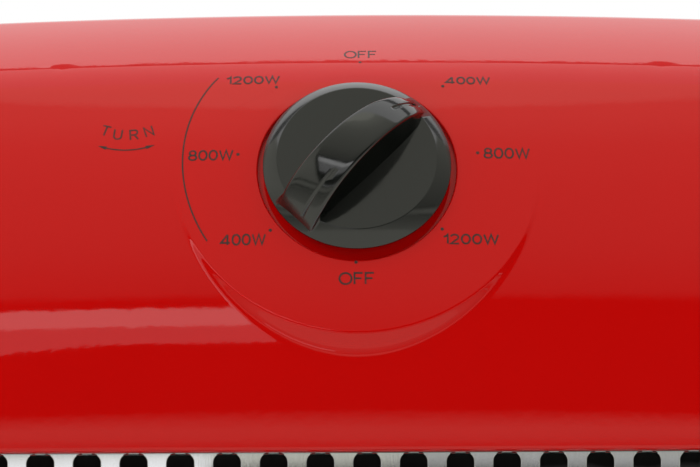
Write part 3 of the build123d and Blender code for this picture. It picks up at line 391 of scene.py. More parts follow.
class HeadShape:
    """The red head's outer skin. A point on it is given by x and by s, the distance
    up the side outline from where the panel starts to curve."""

    def __init__(self):
        self.half = millimetres("head_width") / 2
        self.front, self.back, self.low = FRONT_LOW[1], REAR_HIGH[1], FRONT_LOW[2]
        self.round = millimetres("edge_round")
        self.wall = millimetres("wall")
        self.base = millimetres("panel_start")
        self.runs = []
        s, y, w, turn = 0.0, self.front, self.base, 0.0
        for arc, degrees in OUTLINE_ARCS:
            radius, end = millimetres(arc), math.radians(degrees)
            self.runs.append((s, y, w, turn, radius))
            s += radius * (end - turn)
            y += radius * (math.cos(turn) - math.cos(end))
            w += radius * (math.sin(end) - math.sin(turn))
            turn = end
            if arc == "deck_radius":
                crest_z = w
        corner = millimetres("back_corner_radius")
        fall = (self.back - corner * (1 + math.cos(turn)) - y) / math.sin(turn)
        self.runs.append((s, y, w, turn, None))
        s, y, w = s + fall, y + fall * math.sin(turn), w + fall * math.cos(turn)
        self.runs.append((s, y, w, turn, corner))
        s += corner * (math.pi - turn)
        self.s_back = s
        self.w_back = w - corner * math.sin(turn)
        self.runs.append((s, self.back, self.w_back, math.pi, None))
        self.panel_end, self.crease, self.crest_start, self.crest_end, self.corner_start = (
            self.runs[k][0] for k in (1, 2, 4, 5, 6)
        )
        self.crown_z = crest_z - millimetres("crown_radius")
        self.shoulder = millimetres("shoulder_radius")
        # the shoulders' circles reach above the crest, where the crown cuts them off
        self.shoulder_x = self.half - self.shoulder
        self.shoulder_z = crest_z + 3.0 - self.shoulder
        self.foot = millimetres("foot_corner")
        panel = millimetres("panel_radius")
        self.dial_tilt = math.asin((millimetres("dial_height") - self.base) / panel)
        self.dial_s = panel * self.dial_tilt
        self.dial_centre = self.skin(np.array([0.0]), np.array([self.dial_s]))[0][0]
        self.out = np.array([0.0, -math.cos(self.dial_tilt), math.sin(self.dial_tilt)])
        self.up = np.array([0.0, math.sin(self.dial_tilt), math.cos(self.dial_tilt)])

    def side(self, s):
        """Depth, height and turn of the side outline at distance s."""
        s = np.asarray(s, float)
        y, w, turn = np.full(s.shape, self.front), self.base + s, np.zeros(s.shape)
        for start, y0, w0, turn0, radius in self.runs:
            here = s > start
            run = s[here] - start
            if radius is None:
                y[here], w[here] = y0 + run * math.sin(turn0), w0 + run * math.cos(turn0)
                turn[here] = turn0
            else:
                turn[here] = now = turn0 + run / radius
                y[here] = y0 + radius * (math.cos(turn0) - np.cos(now))
                w[here] = w0 + radius * (np.sin(now) - math.sin(turn0))
        return y, w, turn

    def sink(self, x, s):
        """Relief of the sink marks, where ribs stand behind the brow."""
        across = sum(
            share * np.exp(-(((x - place) / wide) ** 2)) for place, wide, share in SINK_MARKS
        )
        along = np.exp(-(((s - self.crease - 0.4) / 1.5) ** 2))
        return -millimetres("sink_depth") * across * along

    def skin(self, x, s, inset=0.0):
        """Points and outward directions on the head's skin, or on its inner face."""
        x, s = np.broadcast_arrays(np.asarray(x, float), np.asarray(s, float))
        y, w, turn = self.side(s)
        reach = w - self.crown_z
        lean = np.arcsin(x / reach)
        out_y, out_w = -np.cos(turn), np.sin(turn)
        normal = np.stack([out_w * np.sin(lean), out_y, out_w * np.cos(lean)], axis=-1)
        inner = reach - inset * out_w
        height = self.crown_z + inner * np.cos(lean)
        point = np.stack([inner * np.sin(lean), y - inset * out_y, height], axis=-1)
        if inset == 0.0:
            step = 0.2
            dent = self.sink(x, s)
            along_x = (self.sink(x + step, s) - self.sink(x - step, s)) / (2 * step)
            along_s = (self.sink(x, s + step) - self.sink(x, s - step)) / (2 * step)
            flat = np.cos(turn)
            up = np.stack([flat * np.sin(lean), np.sin(turn), flat * np.cos(lean)], axis=-1)
            right = np.stack([np.cos(lean), np.zeros_like(lean), -np.sin(lean)], axis=-1)
            point = point + normal * dent[..., None]
            normal = unit(normal - right * along_x[..., None] - up * along_s[..., None])
        return point, normal

    def flat_level(self, x, z):
        """Distance s up the side outline of points on the lower panel, from x and z."""
        climb = np.hypot(x, z - self.crown_z) + self.crown_z - self.base
        radius = millimetres("panel_radius")
        return np.where(climb > 0, radius * np.arcsin(np.maximum(climb, 0) / radius), climb)

    def edge(self, s):
        """Where the ball that rounds the head's edge sits at distance s: its centre,
        and the directions in which it touches the skin and the side wall."""
        y, w, turn = self.side(s)
        y = y + self.round * np.cos(turn)
        reach = w - self.round * np.sin(turn) - self.crown_z
        x = np.full(reach.shape, self.half - self.round)
        for _ in range(40):
            z = self.crown_z + np.sqrt(reach**2 - x**2)
            rise = np.clip(z - self.shoulder_z, 0, None)
            x = self.shoulder_x + np.sqrt((self.shoulder - self.round) ** 2 - rise**2)
        lean = np.arcsin(x / reach)
        steep = np.sin(turn)
        touch = np.stack([steep * np.sin(lean), -np.cos(turn), steep * np.cos(lean)], axis=-1)
        aside = unit(np.stack([x - self.shoulder_x, np.zeros_like(x), rise], axis=-1))
        return np.stack([x, y, z], axis=-1), touch, aside

    def levelled(self, loop):
        """A loop on the lower panel, given as x and z, as x and s."""
        return np.column_stack([loop[:, 0], self.flat_level(loop[:, 0], loop[:, 1])])

    def dial_skin(self, x, v):
        """Points and outward directions under a point x, v of the dial's own plane."""
        tries = np.linspace(0.0, self.crest_start, 1500)
        y, w, _ = self.side(tries)
        climb = (y - self.dial_centre[1]) * self.up[1] + (w - self.dial_centre[2]) * self.up[2]
        return self.skin(x, np.interp(v, climb, tries))

    def pad_rise(self, x, v):
        """How far the dial pad stands above the panel's own curve."""
        big, small = millimetres("pad_curve"), millimetres("panel_radius")
        v = np.minimum(v, 0.0)
        rise = (small - np.sqrt(small**2 - v**2)) - (big - np.sqrt(big**2 - v**2))
        r = np.maximum(np.hypot(x, v), 1e-6)
        rim = millimetres("pad_radius") - PAD_SAG * (v / r) ** 2
        run = 0.9 + 0.6 * rise + 0.18 * rise**2  # how wide the slope round the pad is
        # the share of the rise that is left on the slope, which is rounded at both ends
        t = (r - rim) / run
        top, foot = 0.14, 0.42
        left = np.where(t < top, 1.0 - (t + top) ** 2 / (4 * top), 1.0 - t)
        left = np.where(t < -top, 1.0, left)
        left = np.where(t > 1 - foot, (1 + foot - t) ** 2 / (4 * foot), left)
        return rise * np.where(t > 1 + foot, 0.0, left)

    def dial_face(self, x, v):
        """Points on the dial, on its pad where it has one."""
        return self.dial_skin(x, v)[0] + self.out * self.pad_rise(x, v)[..., None]


def split_distance(head, y_end):
    """Distance up the side outline at which the head is split into its two halves."""
    tries = np.linspace(head.crest_start, head.s_back, 20001)
    y = head.side(tries)[0]
    return tries[np.argmin(np.abs(y - y_end))]


def round_strip(surface, head, z_top, z_low, loops, wall_end):
    """The rounded edge down both sides of the back, with round wells sunk into it."""
    middle = head.half - head.round
    lines = np.radians(np.linspace(0, 90, 7))
    border = [(z_top, t) for t in lines] + [(z_low, t) for t in lines[::-1]]
    rings = [border] + [
        [(z, math.asin((x - head.half + head.round) / head.round)) for x, z in loop]
        for loop, _ in loops
    ]
    corners = np.vstack(rings) * [1.0, head.round]
    cross_lines = [(i, len(border) - 1 - i) for i in range(1, len(lines) - 1)]
    flat, triangles = fill_edges(corners, loop_edges(rings), cross_lines)
    turn = flat[:, 1] / head.round
    depth = head.back - head.round * (1 - np.cos(turn))
    points = np.column_stack([middle + head.round * np.sin(turn), depth, flat[:, 0]])
    normals = np.column_stack([np.sin(turn), np.cos(turn), np.zeros(len(turn))])
    for way in (1.0, MIRROR):
        surface.add(points * way, normals * way, triangles)
    for loop, out in loops:
        turn = np.arcsin((loop[:, 0] - middle) / head.round)
        top = standing(loop)
        top[:, 1] = head.back - head.round * (1 - np.cos(turn))
        for way in (np.ones(3), MIRROR):
            surface.tube(top * way, standing(loop, wall_end) * way, -standing(out) * way)
            surface.plate([loop * way[:2]], upright(wall_end), [0, 1, 0])


def half_head(surface, head, front, y_end, rows, low_rows, columns, holes, inner_holes, wells=()):
    """One half of the head: the curved belt over its top, the rounded edge, the side
    walls, the flat face with its holes, the underside and the rim where it is split.
    rows are the belt's levels, and low_rows those of the edge alone, below the belt."""
    side = -1 if front else 1
    s_split = split_distance(head, y_end)
    rows = np.append(rows, s_split) if front else np.insert(rows, 0, s_split)
    y_flat = head.front if front else head.back
    centres, touch, aside = head.edge(rows)
    if not front:
        centres, touch, aside, rows = centres[::-1], touch[::-1], aside[::-1], rows[::-1]
    # from the split down to the flat face, then down the side and round the foot
    low_c, low_n, low_a = head.edge(low_rows)
    last = len(rows) - 1 + len(low_rows)
    y_edge = y_flat - side * head.round
    foot_x, foot_z = head.half - head.foot, head.low + head.foot
    steps = 7
    foot_a = around(np.radians(np.linspace(0, 90, steps))) * [1, -1]
    foot_c = standing(np.array([foot_x, foot_z]) + (head.foot - head.round) * foot_a, y_edge)
    foot_n = np.tile([0.0, float(side), 0.0], (steps, 1))
    path_c = np.vstack([centres[::-1], low_c, foot_c])
    path_n = np.vstack([touch[::-1], low_n, foot_n])
    path_a = np.vstack([aside[::-1], low_a, standing(foot_a)])
    opening = np.arccos(np.clip((path_n * path_a).sum(axis=1), -1, 1))[:, None]
    ball = unit(np.stack([
        (np.sin((1 - t) * opening) * path_n + np.sin(t * opening) * path_a) / np.sin(opening)
        for t in np.linspace(0, 1, steps)
    ], axis=1))
    # half of the neck's hole in the underside
    start = math.asin(-side * y_end / NECK_HOLE)
    neck = NECK_HOLE * around(np.linspace(start, np.pi - start, 25)) * [1, side]
    half_hole = math.sqrt(NECK_HOLE**2 - y_end**2)
    rims = []
    for inset, way in ((0.0, 1.0), (head.wall, -1.0)):
        radius = head.round - inset
        edge = path_c[:, None, :] + ball * radius
        stays = np.ones((len(edge) - 1, steps - 1), bool)
        if wells and inset == 0.0:
            stays[last] = False
            round_strip(surface, head, edge[last, 0, 2], foot_z, wells, head.back - WELL_DEPTH)
        surface.mirrored(edge, ball * way, stays)
        # belt over the top
        reach = (centres + touch * head.round)[:, :1]
        inner, outer = columns
        x = np.broadcast_to(inner, (len(rows), len(inner)))
        x = np.concatenate([x, inner[-1] + (reach - inner[-1]) * outer], axis=1)
        x = np.concatenate([-x[:, :0:-1], x], axis=1)
        belt, belt_n = head.skin(x, rows[:, None], inset)
        keep = None
        if front and inset == 0.0:
            keep = dial_hole(head, surface, x, rows)
        surface.grid(belt, belt_n * way, keep=keep)
        # side walls down to the split
        start, end, end_n = edge[:, -1], edge[:, -1].copy(), path_a.copy()
        over = (end[:, 2] > start[0, 2]) & (np.arange(len(end)) < len(end) // 2)
        end[over], end_n[over] = start[0], path_a[0]
        end[:, 1] = y_end
        surface.mirrored(np.stack([start, end]), np.stack([path_a, end_n]) * way)
        # flat face
        right = edge[len(rows) - 1:, 0]
        loops = holes if inset == 0.0 else inner_holes
        if front:
            # laid out by x and s, because the panel already curves above the window
            wide = (low_c + low_n * head.round)[:, 0]
            down = head.levelled(right[1 + len(low_rows):, [0, 2]])
            down = np.vstack([np.column_stack([wide, low_rows]), down])
            top = np.column_stack([x[0], np.full(x.shape[1], rows[0])])
            ring = np.vstack([top, down, (down * [-1, 1])[::-1]])
            flat, triangles = fill([ring] + [head.levelled(loop) for loop in loops])
            point, normal = head.skin(flat[:, 0], flat[:, 1], inset)
            surface.add(point, normal * way, triangles)
        else:
            ring = np.vstack([belt[0], right[1:], (right * MIRROR)[::-1][:-1]])[:, [0, 2]]
            surface.plate([ring] + loops, upright(y_flat - side * inset), [0, side * way, 0])
        # underside
        z_low = head.low + inset
        floor = [[foot_x, y_end], [foot_x, y_edge], [-foot_x, y_edge], [-foot_x, y_end]]
        surface.plate([np.vstack([floor, neck[::-1]])], lying(z_low), [0, 0, -way])
        surface.grid(
            np.array([edge[-1], edge[-1] * MIRROR]), np.array([ball[-1], ball[-1] * MIRROR]) * way
        )
        near = np.array([[half_hole, y_end, z_low]])
        rims.append(np.vstack([
            near, end[::-1], edge[0][::-1], belt[-1][::-1],
            edge[0] * MIRROR, end * MIRROR, near * MIRROR,
        ]))
    surface.grid(np.stack(rims), np.array([0.0, -side, 0.0]))
    inward = unit(lying(0.0)(-neck))
    surface.grid(np.stack([lying(head.low)(neck), lying(head.low + head.wall)(neck)]), inward)


# ---------------------------------------------------------------- dial pad and seat

DIAL_RINGS = (0.0, 0.012, 0.03, 0.06, 0.12, 0.2, 0.3, 0.4, 0.5, 0.6, 0.7, 0.8, 0.88, 0.94)
SEAT_ROUND = 0.5
SEAT_RINGS = (20.0, 12.0, 4.2)


def dial_reach(turn):
    """How far the dial's own patch reaches in each direction, an ellipse set low."""
    low, wide, tall = -13.0, 57.0, 43.0
    c, s = np.cos(turn), np.sin(turn)
    a = (c / wide) ** 2 + (s / tall) ** 2
    b = -2 * s * low / tall**2
    k = (low / tall) ** 2 - 1
    return (-b + np.sqrt(b * b - 4 * a * k)) / (2 * a)


def dial_hole(head, surface, x, rows):
    """Leaves the cells round the dial out of the belt and joins its patch in instead.
    Returns which cells of the belt stay."""
    radius = millimetres("panel_radius")
    s = np.broadcast_to(rows[:, None], x.shape)
    v = radius * np.sin(np.clip((s - head.dial_s) / radius, -1.5, 1.5))
    turn = np.arctan2(v, x)
    inside = np.hypot(x, v) < dial_reach(turn) + 1.0
    keep = ~(inside[:-1, :-1] | inside[1:, :-1] | inside[:-1, 1:] | inside[1:, 1:])
    turns = whole_turn(144)
    reach = dial_reach(turns)
    ring_x, ring_v = reach * np.cos(turns), reach * np.sin(turns)
    ring_s = head.dial_s + radius * np.arcsin(ring_v / radius)
    # edges between a cell that goes and one that stays
    corners, index, edges = [], {}, []

    def corner(r, c):
        if (r, c) not in index:
            index[(r, c)] = len(corners)
            corners.append((x[r, c], s[r, c]))
        return index[(r, c)]

    # each neighbour of a cell, and the two corners that they share
    sides = (
        ((-1, 0), (0, 0), (0, 1)),
        ((1, 0), (1, 0), (1, 1)),
        ((0, -1), (0, 0), (1, 0)),
        ((0, 1), (0, 1), (1, 1)),
    )
    for r, c in np.argwhere(~keep):
        for (dr, dc), first, second in sides:
            if keep[r + dr, c + dc]:
                edges.append(tuple(corner(r + a, c + b) for a, b in (first, second)))
    edges += ring_edges(len(corners), len(turns))
    corners += list(zip(ring_x, ring_s))
    flat, triangles = fill_edges(np.array(corners), edges)
    point, normal = head.skin(flat[:, 0], flat[:, 1])
    surface.add(point, normal, triangles)
    dial_patch(head, surface, turns, reach)
    return keep


def dial_patch(head, surface, turns, reach):
    """The dial pad in rings round the knob, with the seat sunk into it."""
    seat, depth, rim = (millimetres(name) for name in ("seat_radius", "seat_depth", "pad_radius"))
    v_share = np.sin(turns)
    side_gap = (rim - seat) / (dial_reach(0.0) - seat)
    low = np.clip(-v_share / 0.12, 0, 1)
    rim_here = (1 - low) * (seat + side_gap * (reach - seat)) + low * (rim - PAD_SAG * v_share**2)
    start = seat + SEAT_ROUND
    rings = [start + (rim_here - start) * share for share in DIAL_RINGS]
    across = np.minimum(reach, rim_here + 6.0) - rim_here
    rings += [rim_here + across * share for share in np.linspace(-0.12, 0.98, 26)] + [reach]
    rings = np.array(sorted(rings, key=lambda ring: ring[len(ring) * 3 // 4]))
    flat = around(turns).T
    x, v = rings * flat[0], rings * flat[1]
    surface.grid(head.dial_face(x, v), slopes(head, x, v), closed=True)
    # rounded rim of the seat, its wall, its floor and the shaft's hole
    edge, wall_n = [], []
    radial = flat[0][:, None] * np.array([1.0, 0, 0]) + flat[1][:, None] * head.up
    for turn in np.linspace(0, np.pi / 2, 6):
        here = (seat + SEAT_ROUND * (1 - math.sin(turn))) * flat
        edge.append(head.dial_face(*here) - head.out * SEAT_ROUND * (1 - math.cos(turn)))
        wall_n.append(unit(slopes(head, *here) * math.cos(turn) - radial * math.sin(turn)))
    surface.grid(np.stack(edge), np.stack(wall_n), closed=True)
    levels = [r * flat for r in (seat, *SEAT_RINGS)]
    floor = [head.dial_face(*here) - head.out * depth for here in levels]
    surface.tube(edge[-1], floor[0], wall_n[-1])
    surface.grid(np.stack(floor), np.stack([slopes(head, *here) for here in levels]), closed=True)
    surface.tube(floor[-1], floor[-1] - head.out * 3.0, -radial)


def slopes(head, x, v):
    """Outward directions on the dial's face."""
    step = 0.05
    right = head.dial_face(x + step, v) - head.dial_face(x - step, v)
    up = head.dial_face(x, v + step) - head.dial_face(x, v - step)
    return unit(np.cross(right, up))


# ---------------------------------------------------------------- materials


class Finish:
    """A node material in the making."""

    def __init__(self, name):
        self.material = bpy.data.materials.new(name)
        self.material.use_nodes = True
        self.nodes = self.material.node_tree.nodes
        self.links = self.material.node_tree.links
        self.shader = self.nodes["Principled BSDF"]
        self.where = self.node("ShaderNodeTexCoord").outputs["Object"]

    def node(self, kind, **values):
        node = self.nodes.new(kind)
        for key, value in values.items():
            setattr(node, key, value)
        return node

    def set(self, **values):
        """Plain values on the shader's own sockets."""
        for key, value in values.items():
            self.shader.inputs[key.replace("_", " ")].default_value = value

    def mapped(self, kind, vector=None, **values):
        """A node that reads object coordinates, with plain values on its sockets."""
        node = self.node(kind)
        for key, value in values.items():
            node.inputs[key].default_value = value
        self.links.new(vector or self.where, node.inputs["Vector"])
        return node.outputs

    def stretch(self, scale):
        """Object coordinates stretched by a scale for each axis."""
        return self.mapped("ShaderNodeMapping", Scale=scale)["Vector"]

    def noise(self, scale, detail=4.0, roughness=0.55, vector=None):
        """Cloudy noise, with scale in lumps per metre."""
        values = {"Scale": scale, "Detail": detail, "Roughness": roughness}
        return self.mapped("ShaderNodeTexNoise", vector, **values)["Fac"]

    def specks(self, scale, size):
        """Small round specks, 1 at their middles."""
        distance = self.mapped("ShaderNodeTexVoronoi", Scale=scale)["Distance"]
        return self.band(distance, 0.0, size, 1.0, 0.0)

    def band(self, value, low, high, at_low, at_high):
        """A value carried from one range to another."""
        node = self.node("ShaderNodeMapRange")
        ends = zip(("From Min", "From Max", "To Min", "To Max"), (low, high, at_low, at_high))
        for key, number in ends:
            node.inputs[key].default_value = number
        self.links.new(value, node.inputs["Value"])
        return node.outputs["Result"]

    def sum(self, first, second, operation="ADD"):
        """Two values put together."""
        node = self.node("ShaderNodeMath", operation=operation)
        for socket, value in zip(node.inputs, (first, second)):
            self.links.new(value, socket)
        return node.outputs["Value"]

    def mix(self, share, first, second):
        """Two colours mixed by a share."""
        node = self.node("ShaderNodeMix", data_type="RGBA")
        self.links.new(share, node.inputs["Factor"])
        for socket, value in zip(node.inputs[6:], (first, second)):
            if isinstance(value, tuple):
                socket.default_value = value
            else:
                self.links.new(value, socket)
        return node.outputs[2]

    def tone(self, share, colour, low, high):
        """The shader's colour, from darker to lighter with the share."""
        self.colour(self.mix(share, shade(colour, low), shade(colour, high)))

    def colour(self, value):
        self.links.new(value, self.shader.inputs["Base Color"])

    def roughness(self, value):
        self.links.new(value, self.shader.inputs["Roughness"])

    def bump(self, height, depth):
        """Relief of that depth in metres."""
        node = self.node("ShaderNodeBump")
        node.inputs["Distance"].default_value = depth
        node.inputs["Strength"].default_value = 1.0
        self.links.new(height, node.inputs["Height"])
        self.links.new(node.outputs["Normal"], self.shader.inputs["Normal"])


def shade(colour, factor):
    """A colour made darker or lighter."""
    return (*(min(1.0, part * factor) for part in colour[:3]), 1.0)


def glossy_plastic(name, colour, roughness):
    """Moulded glossy plastic: slight flow in its colour, orange peel, dust and fine wear."""
    finish = Finish(name)
    clouds = finish.noise(14.0, 3.0)
    base = finish.mix(clouds, shade(colour, 0.95), shade(colour, 1.05))
    dust = finish.specks(900.0, 0.05)
    finish.colour(finish.mix(finish.band(dust, 0.0, 1.0, 0.0, 0.10), base, (0.55, 0.5, 0.48, 1.0)))
    smears = finish.noise(55.0, 5.0, 0.6, finish.stretch((1.0, 1.0, 0.35)))
    finish.roughness(finish.band(smears, 0.3, 0.75, roughness * 0.8, roughness * 1.35))
    peel = finish.sum(finish.noise(420.0, 2.0, 0.4), finish.specks(1300.0, 0.06))
    finish.bump(peel, 0.00001)
    finish.set(IOR=1.5)
    return finish.material


def satin_plastic(name, colour, roughness, grain=1400.0, depth=0.00003):
    """Moulded plastic with a fine even grain."""
    finish = Finish(name)
    finish.tone(finish.noise(18.0, 4.0), colour, 0.86, 1.18)
    worn = finish.noise(60.0, 4.0)
    finish.roughness(finish.band(worn, 0.3, 0.7, roughness * 0.85, roughness * 1.2))
    finish.bump(finish.noise(grain, 2.0, 0.5), depth)
    finish.set(IOR=1.49)
    return finish.material


def brushed_metal(name, colour, roughness, along):
    """Rolled or brushed metal, with fine lines along one axis."""
    finish = Finish(name)
    lines = finish.noise(2600.0, 3.0, 0.6, finish.stretch(along))
    patches = finish.noise(12.0, 3.0)
    finish.tone(lines, colour, 0.82, 1.12)
    spread = finish.band(lines, 0.2, 0.8, roughness * 0.75, roughness * 1.3)
    finish.roughness(finish.sum(spread, finish.band(patches, 0.3, 0.7, -0.03, 0.04)))
    finish.bump(lines, 0.000006)
    finish.set(Metallic=1.0)
    return finish.material


def plated_steel(name, colour, roughness):
    """Zinc-plated steel, with faint spangle and handling marks."""
    finish = Finish(name)
    spangle = finish.noise(160.0, 5.0, 0.7)
    finish.tone(spangle, colour, 0.8, 1.1)
    finish.roughness(finish.band(spangle, 0.25, 0.75, roughness * 0.8, roughness * 1.35))
    finish.bump(finish.noise(700.0, 3.0), 0.00001)
    finish.set(Metallic=1.0)
    return finish.material


def clear_glass(name):
    """Fused quartz tube with faint drawing lines."""
    finish = Finish(name)
    lines = finish.noise(300.0, 3.0, 0.5, finish.stretch((0.05, 1.0, 1.0)))
    finish.roughness(finish.band(lines, 0.3, 0.7, 0.02, 0.08))
    finish.bump(lines, 0.00002)
    finish.set(Base_Color=(0.96, 0.96, 0.95, 1.0), Transmission_Weight=1.0, IOR=1.46)
    return finish.material


def ceramic(name):
    """Unglazed white ceramic, slightly stained by heat."""
    finish = Finish(name)
    stain = finish.noise(45.0, 5.0, 0.6)
    finish.colour(finish.mix(stain, (0.62, 0.58, 0.50, 1.0), (0.86, 0.84, 0.79, 1.0)))
    finish.roughness(finish.band(stain, 0.3, 0.7, 0.45, 0.65))
    finish.bump(finish.noise(1800.0, 3.0), 0.00004)
    return finish.material


def rubber(name):
    """Soft moulded rubber, dull with a fine grain and a little dust."""
    finish = Finish(name)
    colour = (0.018, 0.018, 0.019, 1.0)
    dust = finish.noise(40.0, 5.0, 0.65)
    finish.colour(finish.mix(finish.band(dust, 0.45, 0.8, 0.0, 0.5), colour, shade(colour, 3.0)))
    finish.roughness(finish.band(dust, 0.3, 0.7, 0.6, 0.85))
    finish.bump(finish.noise(1500.0, 3.0), 0.00006)
    return finish.material


def dress(material, *nodes):
    """Gives carried-over solids their material."""
    for name in nodes:
        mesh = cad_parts[name].data
        mesh.materials.clear()
        mesh.materials.append(material)


# ---------------------------------------------------------------- the stage

AIR_LEVEL = 0.78
WARM = (1.0, 1.0, 0.88)
HEAD_MIDDLE = np.array([0.0, 0.0, 430.0])
# heights in metres between which a card is graded, and its strength on the way up
DOME = (0.43, 3.43, (
    (0.0, 0.02), (0.435, 0.02), (0.465, 0.22), (0.62, 0.36), (0.80, 0.44),
    (0.895, 0.52), (0.94, 0.66), (0.9615, 0.70), (0.966, 1.05),
))
SKIRT = (0.0, 0.43, (
    (0.0, 0.45), (0.50, 0.30), (0.5725, 0.09), (0.574, 0.75), (0.592, 0.75),
    (0.597, 0.4), (0.610, 0.12), (0.645, 0.12), (0.684, 0.20), (0.72, 0.33),
    (0.767, 0.5), (0.84, 0.55), (0.90, 0.38), (0.955, 0.18), (1.0, 0.05),
))
# the photograph's width and its camera's distance to the image plane, in pixels
PHOTO_WIDTH, PHOTO_REACH = 700.0, 2781.0
SENSOR = 36.0


def even(level):
    """A card of the same strength all over."""
    return 0.0, 1.0, ((0.0, level),)


def view_directions():
    """Look, right and up directions of the photograph's camera."""
    pitch, roll = math.radians(3.0), math.radians(0.31)
    look = np.array([0, math.cos(pitch), -math.sin(pitch)])
    level, rise = np.array([1.0, 0, 0]), np.array([0, math.sin(pitch), math.cos(pitch)])
    right = level * math.cos(roll) - rise * math.sin(roll)
    up = rise * math.cos(roll) + level * math.sin(roll)
    return look, right, up


